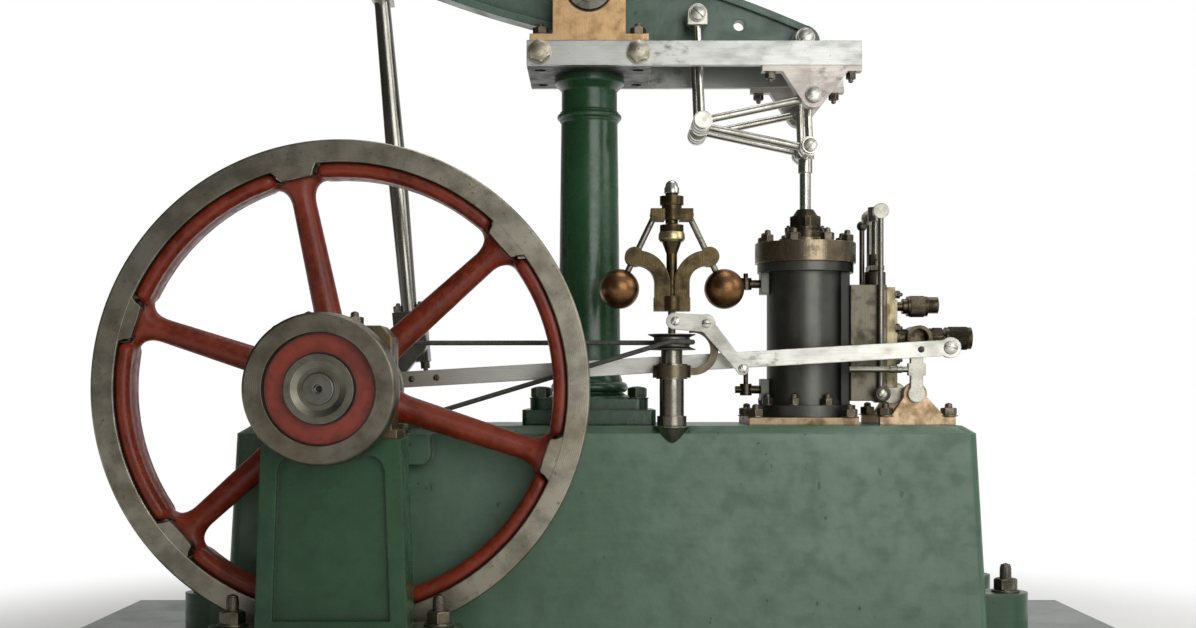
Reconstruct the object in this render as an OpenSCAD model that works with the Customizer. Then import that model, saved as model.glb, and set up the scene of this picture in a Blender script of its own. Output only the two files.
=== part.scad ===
// Workshop-made model of a beam engine on its base plate.
// Lengths are millimetres, +Z is up, +X runs from the flywheel to the cylinder.
// The origin is the centre of the base plate's underside.
// Most pieces are drawn in the engine's own frame: x from the plate's middle,
// y from the vertical plane of the beam (away from the viewer), z from the crankshaft's axis.

/* [Base plate] */
// Length of the base plate
plate_len = 892; // [860:1:960]
// Depth of the base plate, front to back
plate_depth = 452; // [440:1:520]
// Thickness of the base plate
plate_t = 18; // [10:1:30]

/* [Placing of the engine] */
// Distance of the beam's plane behind the middle of the plate
line_back = 30; // [24:1:36]
// Height of the crankshaft's axis above the plate
shaft_h = 206; // [204:1:225]

/* [Bed] */
// Length of the bed's shoulder line
bed_len = 592; // [584:1:604]
// Offset of the bed's middle along X
bed_mid = 7; // [4:1:10]
// Width of the bed at its shoulder
bed_w = 160; // [156:1:170]
// Spread of each end and side from shoulder to foot
bed_spread = 8; // [4:1:14]
// Depth of the bed's flat top below the crankshaft's axis
bed_drop = 29.5; // [28:0.5:30.5]
// Height of the sloping shoulder round the bed's top
shoulder_h = 6; // [3:0.5:8]
// Width of the sloping shoulder
shoulder_w = 9; // [5:0.5:10]
// Wall of the bed casting
bed_wall = 10; // [7:0.5:14]
// Corner radius of the bed casting
bed_corner = 8; // [4:0.5:9]
// Length of the crank pit
pit_len = 150; // [148:1:152]
// Reach of the crank pit before the beam's plane
pit_front = 73.5; // [73:0.25:74]
// Reach of the crank pit behind the beam's plane
pit_back = 45; // [30:1:60]

/* [Holding-down lugs] */
// Height of each lug above the plate
lug_h = 42; // [30:1:60]
// Radius of each lug
lug_r = 17.5; // [15:0.5:19]
// Distance of each lug's axis past the bed's foot
lug_out = 19; // [12:0.5:22]
// Distance of each lug's axis from the beam's plane
lug_y = 60; // [45:1:66]

/* [Crankshaft] */
// Distance of the crankshaft left of the plate's middle
crank_left = 196; // [192:1:200]
// Radius of the crankshaft
shaft_r = 11; // [9:0.5:12]
// Throw of the crank
throw = 55; // [54:0.5:56]
// Thickness of the crank web
web_t = 11; // [8:0.5:13]
// Radius of the web round the shaft
web_shaft_r = 21; // [17:0.5:23]
// Radius of the web round the pin
web_pin_r = 15; // [12:0.5:16]
// Radius of the crank pin
crank_pin_r = 7.5; // [5:0.5:9]

/* [Flywheel] */
// Outer radius of the flywheel
wheel_r = 190; // [180:1:194]
// Depth of the bright machined band, measured inwards
band_d = 17.5; // [12:0.5:20]
// Depth of the painted inner ring
ring_d = 11; // [8:0.5:14]
// Width of the rim along the shaft
rim_w = 37; // [30:1:38]
// Width of the painted inner ring along the shaft
ring_w = 27; // [20:1:29]
// Distance of the rim's front face before the beam's plane
rim_front = 137; // [136:0.5:138]
// Radius of the hub
hub_r = 40; // [34:1:44]
// Number of spokes
spokes = 6; // [4:1:8]
// Radius of a spoke at the hub
spoke_r = 11; // [9:0.5:12]
// Radius of a spoke near the rim
spoke_tip_r = 9; // [7.5:0.5:10]
// Angle of the first spoke
spoke_turn = 42; // [0:1:60]

/* [Overhung pulley] */
// Radius of the pulley
pulley_r = 54; // [46:0.5:58]
// Width of the pulley's rim
pulley_w = 30; // [24:0.5:31]
// Distance of the pulley's front face before the beam's plane
pulley_front = 229; // [228:0.5:236]
// Radius of the pulley's boss
pulley_boss_r = 25; // [20:0.5:28]
// Outer radius of the recess in the pulley's face
recess_r = 40; // [34:0.5:42]
// Depth of the recess in the pulley's face
recess_d = 9; // [4:0.5:11]

/* [Outer pedestal] */
// Width of the pedestal's top
ped_w = 101; // [90:1:104]
// Width of the pedestal at the plate
ped_foot_w = 113; // [106:1:122]
// Depth of the pedestal along the shaft
ped_d = 43; // [38:1:44]
// Distance of the pedestal's front face before the beam's plane
ped_front = 195; // [194:0.5:196]
// Depth of the pedestal's top below the shaft's axis
ped_drop = 36; // [30:1:42]
// Width of the raised border round the panel
ped_border = 12.5; // [8:0.5:16]
// Depth of the recessed panel
ped_panel_d = 3; // [1.5:0.5:5]
// Distance of the foot bolts from the pedestal's middle
ped_bolt_x = 76; // [73:1:80]
// Height of the pedestal's bolt lugs
ped_lug_h = 32; // [20:1:45]

/* [Column and entablature] */
// Distance of the column left of the plate's middle
column_left = 7.3; // [6:0.1:8.5]
// Radius of the column's foot
column_r = 26.5; // [24.5:0.5:27.5]
// Radius of the column's top
column_top_r = 23.5; // [21:0.5:24]
// Drop from the beam's pivot to the entablature's underside
ent_drop = 66; // [64:0.5:67]
// Thickness of the entablature
ent_t = 22; // [20.5:0.5:24]
// Length of the entablature
ent_len = 102; // [100:1:108]
// Half depth of the entablature between the side bars
ent_half = 45; // [44.5:0.5:46]
// Thickness of each side bar
bar_t = 6; // [5:0.5:7]
// Height of each side bar
bar_h = 20; // [17:0.5:20]
// Reach of the side bars past the fixed pivot of the radius rods
bar_past = 39.5; // [37:0.1:42]

/* [Beam] */
// Distance from the pivot to each end pin
beam_half = 183.4; // [181:0.1:185]
// Half depth of the beam at the middle
beam_mid_h = 34; // [31:0.5:35]
// Half depth of the beam at the end pins
beam_end_h = 15; // [13:0.5:16]
// Thickness of the beam's raised border
beam_t = 20; // [16:0.5:22]
// Thickness of the beam's web
beam_web_t = 12; // [8:0.5:14]
// Width of the raised border
beam_border = 6; // [4:0.5:8]
// Slope of the beam as drawn, cylinder end down
beam_tilt = 12; // [10:0.1:14]
// Radius of the beam's trunnion
trunnion_r = 12; // [10:0.5:13]
// Radius of the end pins
pin_r = 4; // [3:0.25:4.5]
// Radius of the lightening hole in the cylinder half
hole_r = 4.7; // [3:0.1:6]
// Distance of that hole from the pivot
hole_at = 128.4; // [120:0.1:140]

/* [Connecting rod] */
// Length of the connecting rod, which is also the height of the beam's pivot above the shaft
rod_len = 330; // [326:0.5:334]
// Radius of the rod at its ends
rod_end_r = 6.6; // [5:0.1:7]
// Radius of the rod at its middle
rod_mid_r = 8.2; // [6.5:0.1:9]
// Width of the big end
big_w = 27; // [24:0.5:30]
// Thickness of the big end along the shaft
big_t = 23; // [18:0.5:23]

/* [Parallel motion] */
// Length of the main and back links
link_len = 90; // [88:0.5:92]
// Radius of the round link rods
link_r = 3.2; // [2.5:0.1:3.6]
// Distance of the fixed pivot right of the plate's middle
fixed_x = 175.9; // [174.5:0.1:177.5]
// Distance of the link planes from the beam's plane
link_y = 26; // [25.5:0.5:27]
// Thickness of each link's eye
eye_t = 7; // [6:0.25:7.5]
// Radius of each link's eye
eye_r = 8; // [6.5:0.25:8.5]
// Reach of each bracket's flange left of the fixed pivot
bracket_left = 42; // [36:1:44]
// Thickness of each bracket's flange
bracket_flange = 5; // [4:0.5:6]
// Radius of each bracket's eye
bracket_eye = 10.5; // [9:0.5:11]

/* [Cylinder] */
// Outer radius of the lagged cylinder
cyl_r = 32.5; // [31:0.5:34]
// Radius of the cylinder's bore
bore_r = 24; // [20:0.5:26]
// Height of the cylinder's bottom flange face above the shaft's axis
cyl_z0 = -23.5; // [-24.5:0.5:-22.5]
// Drop from the fixed pivot of the radius rods to the cylinder's top face
cyl_drop = 134; // [132:0.5:135]
// Radius of the cover
cover_r = 42.5; // [40:0.5:44]
// Thickness of the cover
cover_t = 17; // [14:0.5:18]
// Radius of the piston rod
piston_rod_r = 4.75; // [4:0.25:5.5]
// Stroke of the piston
stroke = 110; // [109:0.5:111]
// Reach of the cylinder's base plate left of the cylinder's axis
cyl_base_left = 52; // [46:1:54]
// Reach of the cylinder's base plate right of the cylinder's axis
cyl_base_right = 38; // [34:1:40]
// Half depth of the cylinder's base plate
cyl_base_half = 46; // [44:1:50]

/* [Valve gear] */
// Distance of the valve spindle right of the plate's middle
valve_x = 235; // [234:0.5:236]
// Radius of the valve spindle
spindle_r = 2.8; // [2:0.1:3.2]
// Half depth of the valve chest
chest_half = 22; // [19:0.5:22.5]
// Drop from the cylinder's top face to the valve chest's top
chest_drop = 19; // [16:0.5:22]
// Distance of the rocker shaft right of the plate's middle
rocker_x = 260; // [259:0.5:262]
// Height of the rocker shaft above the crankshaft's axis
rocker_z = -4; // [-5:0.5:-3]
// Radius of the rocker shaft
rocker_r = 4.5; // [3.5:0.25:5]
// Throw of the eccentric
ecc_throw = 6; // [3:0.5:6.5]
// Radius of the eccentric sheave
sheave_r = 24; // [22:0.5:25]

/* [Governor] */
// Distance of the governor right of the plate's middle
gov_x = 59; // [57:0.5:62]
// Distance of the governor before the beam's plane
gov_front = 75; // [74:0.5:76]
// Radius of the governor's stand
stand_r = 9.75; // [8:0.25:10.5]
// Height of the middle of the governor's pulley
gov_pulley_z = 37.5; // [37:0.5:38.5]
// Radius of the belt's path on the governor's pulley
gov_belt_r = 17; // [15:0.5:18]
// Radius of the belt's path on the crankshaft's pulley
crank_belt_r = 37; // [35:0.5:38]
// Radius of the round belt
belt_r = 2; // [1.5:0.1:2.2]
// Radius of each governor ball
ball_r = 16; // [13:0.5:16.5]
// Distance of each ball from the governor's axis
ball_out = 42; // [40:0.5:43]
// Height of the balls above the crankshaft's axis
ball_z = 80; // [79:0.5:82]

/* [Hidden] */
$fn = 48;
tiny = 0.01;
gap = 0.3;
run_fit = 0.06;

shaft_z = plate_t + shaft_h;
crank_x = -crank_left;
column_x = -column_left;
bed_h = shaft_h - bed_drop;
bed_body_h = bed_h - shoulder_h;

pivot_z = rod_len;
ent_z = pivot_z - ent_drop;
fixed_z = pivot_z - link_len;
cyl_z1 = fixed_z - cyl_drop;
bar_end = fixed_x + bar_past;
chest_z1 = cyl_z1 - chest_drop;
valve_rise = 61;
oiler_drop = 17;
inlet_drop = 44;
valve_top = chest_z1 + valve_rise;

// Rest points of the linkage in the beam's plane, as [x, z].
pivot = [column_x, pivot_z];
function along(t) = [pivot[0] + t * cos(beam_tilt), pivot[1] - t * sin(beam_tilt)];
beam_left = along(-beam_half);
beam_right = along(beam_half);
beam_mid = along(beam_half / 2);
fixed = [fixed_x, fixed_z];

// Where a circle about p and one about q cross, on the left-hand side of p to q.
function crossing(p, rp, q, rq) =
    let (d = norm(q - p), a = (d * d + rp * rp - rq * rq) / (2 * d),
         h = sqrt(rp * rp - a * a), u = (q - p) / d)
    [p[0] + a * u[0] - h * u[1], p[1] + a * u[1] + h * u[0]];

link_c = crossing(fixed, beam_half / 2, beam_mid, link_len);
link_d = beam_right + link_c - beam_mid;
crank_pin = crossing(beam_left, rod_len, [crank_x, 0], throw);
cyl_x = link_d[0];

// Depth planes, measured outwards from the beam's plane.
boss_half = 13;
fork_in = boss_half + 0.4;
fork_out = 20.6;
eye_in = link_y - eye_t / 2;
eye_out = link_y + eye_t / 2;
head_t = 4;
par_in = 11;
par_out = 18;
cross_half = par_in - 0.6;
trunnion_in = 20;
trunnion_t = 22;
web_back = big_t / 2 + 0.8;
pin_end = eye_out + gap + head_t;
rad_in = pin_end + gap + 0.7;
rad_out = rad_in + 6;
ent_front = ent_half + bar_t;
strap_half = 3;
ecc_y = 56;
drive_y = 66.5;
drive_half = 6;
bearing_in = 38;
bearing_t = 8;
arm_in = 30;
arm_t = 5;
link_t = 5;

// Sizes shared by pieces that meet.
pin_head = 3;
bar_seat = 0.3;
seat_half = 45;
bearing_w = 22;
lug_half = 64;
lug_reach = 97;
lug_corner = 8;
main_lug_h = 24;
cap_top = 46;
plinth_w = 109;
plinth_t = 12.5;
flange_t = 9;
beam_channel = 17;
channel_d = 9;
bolt_x = 40.5;
bearing_foot = 49;
cock_boss = 6;
chest_x0 = 211;
chest_z0 = -10;
chest_l = 30;
plate_7 = 7;
plate_3 = 3;
chest_x1 = chest_x0 + chest_l + plate_7 + plate_3;
gland_step = 4;
gov_spindle_r = 3;
gov_foot_r = 4;
gov_half = 6.25;
stand_ring = 2.75;
lever_at = [27, 52];
lever_end = [56, 16];
frame_z0 = 62;
frame_base = 12;
collar_z = 132;
arm_top = [13.6, 139];
ball_at = [ball_out, ball_z];
arm_pin = 1.6;
piston_t = 9;
stroke_low = cyl_z0 + 9;
swing = asin(stroke / 2 / beam_half);
piston_z = stroke_low + piston_t / 2 + stroke * (swing - beam_tilt) / (2 * swing);
ecc_at = [crank_x + ecc_throw * cos(120), ecc_throw * sin(120)];
rod_end = [286, 33.5];
rod_half = 6.5;

// Puts what follows into the engine's frame.
module engine() translate([0, line_back, shaft_z]) children();

// A cylinder along Y between two depths, at a point [x, z].
module bar_y(p, r, y0, y1) {
    translate([p[0], y1, p[1]]) rotate([90, 0, 0]) cylinder(r = r, h = y1 - y0);
}

// A flat outline drawn in x and z, standing between two depths.
module plate_y(y0, y1) {
    translate([0, y1, 0]) rotate([90, 0, 0]) linear_extrude(y1 - y0) children();
}

// A box from its low corner to its high corner.
module span(a, b) translate(a) cube(b - a);

// A copy on the near side and one on the far side of the beam's plane.
module both_sides() {
    children();
    mirror([0, 1, 0]) children();
}

// A round rod between two points [x, z] in the plane at depth y.
module rod_between(p, q, r, y) {
    d = q - p;
    translate([p[0], y, p[1]]) rotate([0, atan2(d[0], d[1]), 0]) cylinder(r = r, h = norm(d));
}

// A square with rounded corners, centred.
module soft_square(l, w, r) {
    square([l - 2 * r, w], center = true);
    square([l, w - 2 * r], center = true);
    for (x = [-1, 1], y = [-1, 1])
        translate([x * (l / 2 - r), y * (w / 2 - r)]) circle(r, $fn = 24);
}

module base_plate() {
    color("#8f9490")
        translate([-plate_len / 2, -plate_depth / 2, 0]) cube([plate_len, plate_depth, plate_t]);
}

// A block with rounded corners that tapers from one length and width to another.
module tapered_block(l0, w0, l1, w1, h, r) {
    hull() for (x = [-1, 1], y = [-1, 1]) {
        translate([x * (l0 / 2 - r), y * (w0 / 2 - r), 0]) cylinder(r = r, h = tiny, $fn = 24);
        translate([x * (l1 / 2 - r), y * (w1 / 2 - r), h - tiny]) cylinder(r = r, h = tiny, $fn = 24);
    }
}

// The tapered body of the bed, shrunk sideways by d and h high.
module bed_body(d, h) {
    s = 2 * (bed_spread * (1 - h / bed_body_h) - d);
    tapered_block(bed_len + 2 * (bed_spread - d), bed_w + 2 * (bed_spread - d),
                  bed_len + s, bed_w + s, h, bed_corner - d / 2);
}

module bed() {
    top_l = bed_len - 2 * shoulder_w;
    top_w = bed_w - 2 * shoulder_w;
    foot_x = bed_len / 2 + bed_spread;
    root = lug_out + bed_spread;
    corbel_h = 14;
    pit_floor = bed_drop + shoulder_h + bed_wall + 2;
    color("#5d7a68") engine() difference() {
        union() {
            translate([bed_mid, 0, -shaft_h]) bed_body(0, bed_body_h);
            translate([bed_mid, 0, -bed_drop - shoulder_h - tiny])
                tapered_block(bed_len, bed_w, top_l, top_w, shoulder_h + tiny, bed_corner);
            bearing_lug();
            for (e = [-1, 1], s = [-1, 1])
                translate([bed_mid + e * (foot_x + lug_out), s * lug_y, -shaft_h]) {
                    cylinder(r = lug_r, h = lug_h);
                    span([e > 0 ? -root : 0, -lug_r, 0], [e > 0 ? 0 : root, lug_r, lug_h]);
                }
            translate([gov_x, -gov_front, -bed_drop - corbel_h])
                cylinder(r1 = stand_r / 2, r2 = stand_r + 5, h = corbel_h);
        }
        translate([bed_mid, 0, -shaft_h - tiny]) bed_body(bed_wall, bed_body_h - bed_wall);
        span([crank_x - pit_len / 2, -pit_front, -pit_floor],
             [crank_x + pit_len / 2, pit_back, 1 - bed_drop]);
        span([crank_x - seat_half, -lug_reach - 1, -bed_drop - shoulder_h],
             [crank_x + seat_half, 1 - pit_front, 1 - bed_drop]);
    }
}

// The lug on the bed's front that carries the crankshaft's inner bearing.
module bearing_lug() {
    z1 = -bed_drop - shoulder_h;
    span([crank_x - lug_half, -lug_reach, z1 - main_lug_h + lug_corner],
         [crank_x + lug_half, -bed_w / 2 + shoulder_w, z1]);
    span([crank_x - lug_half + lug_corner, -lug_reach, z1 - main_lug_h],
         [crank_x + lug_half - lug_corner, -bed_w / 2 + shoulder_w, z1 - main_lug_h + lug_corner]);
    for (s = [-1, 1])
        bar_y([crank_x + s * (lug_half - lug_corner), z1 - main_lug_h + lug_corner],
              lug_corner, -lug_reach, -bed_w / 2 + shoulder_w);
}

// A split bearing block round the shaft: a foot, a body and a cap with bevelled shoulders.
module bearing_block(half, foot_half, z0, foot_t, z1, bevel, y0, y1, r) {
    plate_y(y0, y1) difference() {
        polygon([[-foot_half, z0], [foot_half, z0], [foot_half, z0 + foot_t], [half, z0 + foot_t],
                 [half, z1 - bevel], [half - bevel, z1], [bevel - half, z1], [-half, z1 - bevel],
                 [-half, z0 + foot_t], [-foot_half, z0 + foot_t]]);
        circle(r + run_fit, $fn = 64);
    }
}

// The outline of the pedestal's front, drawn in x and z and shrunk sideways by d.
module pedestal_face(d, z0, z1) {
    polygon([[-ped_foot_w / 2 + d, z0], [ped_foot_w / 2 - d, z0],
             [ped_w / 2 - d, z1], [d - ped_w / 2, z1]]);
}

module pedestal() {
    ped_back = -ped_front + ped_d;
    corner = 10;
    panel_z0 = ped_lug_h - shaft_h + 6;
    ped_shift = 3;
    panel_z1 = -ped_drop - ped_border;
    color("#2f4a33") engine() translate([crank_x + ped_shift, 0, 0]) {
        difference() {
            plate_y(-ped_front, ped_back) pedestal_face(0, -shaft_h, -ped_drop);
            for (y = [-ped_front - 1, ped_back - ped_panel_d])
                plate_y(y, y + ped_panel_d + 1) intersection() {
                    pedestal_face(ped_border, -shaft_h, -ped_drop);
                    union() {
                        translate([-ped_w / 2, panel_z0]) square([ped_w, panel_z1 - corner - panel_z0]);
                        translate([corner + ped_border - ped_w / 2, panel_z1 - corner - 1])
                            square([ped_w - 2 * ped_border - 2 * corner, corner + 1]);
                        for (s = [-1, 1])
                            translate([s * (ped_w / 2 - ped_border - corner), panel_z1 - corner])
                                circle(corner);
                    }
                }
        }
        for (s = [-1, 1]) translate([s * ped_bolt_x, ped_back - ped_d / 2, -shaft_h]) {
            cylinder(r = lug_r, h = ped_lug_h);
            span([s > 0 ? -ped_bolt_x + ped_w / 2 - 2 : 0, -lug_r, 0],
                 [s > 0 ? 0 : ped_bolt_x - ped_w / 2 + 2, lug_r, ped_lug_h]);
        }
    }
}

module pedestal_bearing() {
    y0 = -ped_front + 2;
    color("#b08a5a") engine() translate([crank_x, 0, 0])
        bearing_block(ped_w / 2 - 4, ped_w / 2, -ped_drop, 6, cap_top, 8, y0, y0 + ped_d - 4, shaft_r);
}

module main_bearing() {
    half = 20;
    z0 = -bed_drop - shoulder_h;
    color("#b08a5a") engine() translate([crank_x, 0, 0])
        bearing_block(half, seat_half - 1, z0, 8, shaft_r * 2, 8, -lug_reach, bearing_w - lug_reach, shaft_r);
}

// Column: a square plinth with a bolted flange, a moulded foot, a tapering shaft and a cap.
module column() {
    color("#1f4a2a") engine() translate([column_x, 0, 0]) {
        translate([0, 0, -bed_drop]) linear_extrude(plinth_t) soft_square(plinth_w, plinth_w, 4);
        translate([0, 0, plinth_t - bed_drop])
            linear_extrude(flange_t) soft_square(plinth_w - 12, plinth_w - 12, 10);
        rotate_extrude($fn = 64) column_profile();
    }
}

module column_profile() {
    z0 = plinth_t - bed_drop + flange_t - 0.5;
    bead_z = 230;
    polygon([[0, z0], [column_r + 8, z0], [column_r + 8, z0 + 2], [column_r + 1.5, z0 + 5.5],
             [column_r + 1.5, z0 + 16], [column_r, z0 + 20], [column_top_r + 0.4, bead_z - 5],
             [column_top_r + 1.5, bead_z - 4], [column_top_r + 1.5, bead_z + 4],
             [column_top_r, bead_z + 5], [column_top_r, ent_z - 12],
             [column_top_r + 6, ent_z - 6], [column_top_r + 6, ent_z], [0, ent_z]]);
    translate([column_r + 1.5, z0 + 10]) circle(4.5, $fn = 32);
    translate([column_top_r + 1, bead_z]) circle(2.8, $fn = 24);
}

// Entablature plate, with a channel in its top where the beam dips.
module entablature() {
    x0 = column_x - ent_len / 2;
    bolt_r = 5;
    bolt_sink = 6;
    color("#c9c9c4") engine() difference() {
        span([x0, -ent_half, ent_z], [x0 + ent_len, ent_half, ent_z + ent_t]);
        span([x0 - 1, -beam_channel, ent_z + ent_t - channel_d],
             [x0 + ent_len + 1, beam_channel, ent_z + ent_t + 1]);
        for (x = [-1, 1] * bolt_x, y = [-1, 1] * (trunnion_in + trunnion_t / 2))
            translate([column_x + x, y, ent_z - 1]) cylinder(r = bolt_r, h = bolt_sink + 1);
    }
}

// The trunnion bearings: flanged blocks with a rounded head round the beam's shaft.
module trunnion_bearings() {
    foot = pivot_z - ent_z - ent_t;
    foot_t = 6;
    half = 30;
    head = 22;
    color("#d8b083") engine() both_sides() translate([column_x, 0, pivot_z])
        plate_y(trunnion_in, trunnion_in + trunnion_t) difference() {
            union() {
                translate([-bearing_foot, -foot]) square([2 * bearing_foot, foot_t]);
                translate([-half, foot_t - foot]) square([2 * half, foot - 2]);
                translate([-head, 0]) square([2 * head, 16]);
                circle(26, $fn = 64);
            }
            circle(trunnion_r + run_fit, $fn = 64);
        }
}

module side_bars() {
    z0 = ent_z + bar_seat;
    color("#d9d8d2") engine() both_sides()
        span([column_x - ent_len / 2, ent_half, z0], [bar_end, ent_front, z0 + bar_h]);
}

// The brackets under the side bars, with the pins that the radius rods swing on.
module radius_brackets() {
    z1 = ent_z + bar_seat;
    y0 = rad_out + gap;
    root_left = bracket_left - 16;
    root_right = bar_past - 10.5;
    neck = bracket_eye - 1.5;
    low = fixed_z - bracket_eye / 2;
    high = z1 - bracket_flange + 1;
    color("#d9d8d2") engine() both_sides() {
        span([fixed_x - bracket_left, y0, z1 - bracket_flange], [bar_end, ent_front, z1]);
        plate_y(y0, ent_front) {
            polygon([[fixed_x - root_left, high], [fixed_x - neck, low],
                     [fixed_x + neck, low], [fixed_x + root_right, high]]);
            translate(fixed) circle(bracket_eye);
        }
        bar_y(fixed, pin_r, rad_in - 0.2, ent_front + pin_head);
        bar_y(fixed, pin_r + 2.5, ent_front, ent_front + pin_head + 0.5);
    }
}

module cylinder_base() {
    color("#d8b083") engine()
        span([cyl_x - cyl_base_left, -cyl_base_half, -bed_drop],
             [cyl_x + cyl_base_right, cyl_base_half, cyl_z0]);
}

// The lagged cylinder with its flanges, its bore and the steam ports on its right.
module cylinder_body() {
    flange = 10;
    foot_r = cover_r - 0.5;
    top_flange = 8;
    port_half = 17;
    boss_half_y = 8;
    boss_h = 18;
    boss_in = 8;
    color("#2a2a28") engine() difference() {
        union() {
            translate([cyl_x, 0, cyl_z0]) cylinder(r = foot_r, h = flange, $fn = 72);
            translate([cyl_x, 0, cyl_z0]) cylinder(r = cyl_r, h = cyl_z1 - cyl_z0, $fn = 72);
            translate([cyl_x, 0, cyl_z1 - top_flange]) cylinder(r = cover_r - 2, h = top_flange, $fn = 72);
            span([cyl_x, -port_half, cyl_z0 + flange], [chest_x0, port_half, cyl_z1 - top_flange]);
            for (z = [cyl_z0 + flange + 4, cyl_z1 - top_flange - boss_h])
                span([cyl_x - cyl_r - cock_boss, -boss_half_y, z],
                     [cyl_x - cyl_r + boss_in, boss_half_y, z + boss_h]);
        }
        translate([cyl_x, 0, stroke_low - 1])
            cylinder(r = bore_r, h = cyl_z1 - stroke_low + 2, $fn = 72);
    }
}

module cylinder_cover() {
    step_r = 22;
    color("#4a463c") engine() translate([cyl_x, 0, cyl_z1]) difference() {
        union() {
            cylinder(r = cover_r, h = cover_t, $fn = 72);
            cylinder(r = step_r, h = cover_t + gland_step, $fn = 72);
        }
        translate([0, 0, -1]) cylinder(r = piston_rod_r + run_fit, h = cover_t + gland_step + 2);
    }
}

module piston_gland() {
    flange_h = 6;
    body_h = 19;
    nut_h = 6;
    color("#6a6650") engine() translate([cyl_x, 0, cyl_z1 + cover_t + gland_step]) difference() {
        union() {
            cylinder(r = 17, h = flange_h);
            cylinder(r = 13, h = body_h);
            translate([0, 0, body_h]) cylinder(r1 = 11, r2 = 7, h = nut_h);
        }
        translate([0, 0, -1]) cylinder(r = piston_rod_r + run_fit, h = body_h + nut_h + 2);
    }
}

// The valve chest: its body, the spindle's gland on top and the guide that steadies the spindle.
module valve_chest() {
    box_h = 12;
    gland_h = 27;
    gland_flange = 4;
    guide_x = 224;
    guide_r = 2.2;
    guide_top = valve_top - 10;
    color("#9a9a92") engine() difference() {
        union() {
            span([chest_x0, -chest_half, chest_z0], [chest_x0 + chest_l, chest_half, chest_z1]);
            translate([valve_x, 0, chest_z1]) {
                cylinder(r = 9, h = box_h);
                cylinder(r = 6, h = gland_h);
                translate([-6, -11, box_h + 1]) cube([12, 22, gland_flange]);
            }
            translate([guide_x, 0, chest_z1]) {
                cylinder(r = guide_r, h = guide_top - chest_z1);
                translate([0, 0, guide_top - chest_z1]) sphere(2 * guide_r);
            }
        }
        translate([valve_x, 0, 4]) cylinder(r = spindle_r + run_fit, h = chest_z1 + gland_h);
    }
}

module chest_cover() {
    x0 = chest_x0 + chest_l;
    step = 6;
    color("#c0a070") engine() {
        span([x0, -chest_half, chest_z0], [x0 + plate_7, chest_half, chest_z1 - 2]);
        span([x0 + plate_7, step - chest_half, chest_z0 + step + 2],
             [x0 + plate_7 + plate_3, chest_half - step, chest_z1 - 2 * step]);
    }
}

// A cylinder along X from x0 to x1 at a height z in the beam's plane.
module bar_x(x0, x1, z, r) {
    translate([x0, 0, z]) rotate([0, 90, 0]) cylinder(r = r, h = x1 - x0);
}

// Steam inlet: a stub with a stop valve, whose round body faces the viewer, and its grip.
module steam_inlet() {
    z = chest_z1 - inlet_drop;
    body_x = 270;
    body_r = 10.5;
    body_y = 15;
    union_x = 281;
    grip_x = 294;
    grip_end = 316;
    color("#5a4a38") engine() difference() {
        union() {
            bar_x(chest_x1, body_x, z, 8);
            bar_x(chest_x1, chest_x1 + plate_3, z, 13);
            bar_y([body_x, z], body_r, -body_y, body_y);
            bar_x(body_x, union_x, z, 5);
            bar_x(union_x, grip_x - 2, z, 7.5);
            bar_x(grip_x - 2, grip_x, z, 5);
            bar_x(grip_x, grip_end, z, 9.3);
        }
        bar_y([body_x, z], body_r - 3, -body_y - 1, -2);
    }
}

// The lubricator on the chest's cover: a neck, a body and a capped end.
module chest_oiler() {
    z = chest_z1 - oiler_drop;
    neck_x = 258;
    body_x = 262;
    cap_x = 279;
    color("#6a5a28") engine() {
        bar_x(chest_x1 + gap, body_x, z, 4);
        bar_x(neck_x, body_x + 3, z, 6.5);
        bar_x(body_x, cap_x, z, 8.5);
        bar_x(cap_x, cap_x + 9, z + 1, 7);
    }
}

// A drain cock on the cylinder's left side: a spigot, a plug body and a lever.
module drain_cock(z, lever) {
    x0 = cyl_x - cyl_r - cock_boss;
    reach = 12;
    body_h = 10;
    translate([x0, 0, z]) rotate([0, -90, 0]) cylinder(r = 3.5, h = reach);
    translate([x0 - reach, 0, z - body_h / 2]) cylinder(r = 5, h = body_h);
    translate([x0 - reach, 0, z]) rotate([0, -90, 0]) cylinder(r = 3, h = 9);
    translate([x0 - reach, 0, z]) cylinder(r = 2, h = lever);
}

module drain_cocks() {
    short_lever = 9;
    long_lever = 22;
    color("#4a3a20") engine() {
        drain_cock(cyl_z1 - 17, short_lever);
        drain_cock(cyl_z0 + 23, long_lever);
    }
}

module rocker_bearings() {
    foot = rocker_z + bed_drop;
    foot_t = 7;
    left = 29;
    right = 33;
    head = 9.5;
    color("#d8b083") engine() both_sides()
        translate([rocker_x, 0, rocker_z]) plate_y(bearing_in, bearing_in + bearing_t) difference() {
            union() {
                translate([-left, -foot]) square([left + right, foot_t]);
                polygon([[-20, foot_t - foot], [24, foot_t - foot], [head - 0.5, -2], [0.5 - head, -2]]);
                circle(head);
            }
            circle(rocker_r + run_fit);
        }
}

// The governor's stand: a foot, a turned post, a collar and a neck under the pulley.
module governor_stand() {
    foot_h = 8;
    ring_z = 8;
    ring_h = 12;
    neck_z = ring_z + ring_h;
    color("#8a8578") engine() translate([gov_x, -gov_front, 0]) difference() {
        union() {
            translate([0, 0, -bed_drop]) cylinder(r = stand_r + 2, h = foot_h);
            translate([0, 0, -bed_drop]) cylinder(r = stand_r, h = bed_drop + ring_z + 2);
            translate([0, 0, ring_z]) cylinder(r = stand_r + stand_ring, h = ring_h);
            translate([0, 0, neck_z])
                cylinder(r = stand_r - 1.2, h = gov_pulley_z - gov_half - gap - neck_z);
        }
        cylinder(r = gov_foot_r + run_fit, h = gov_pulley_z);
    }
}

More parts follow.
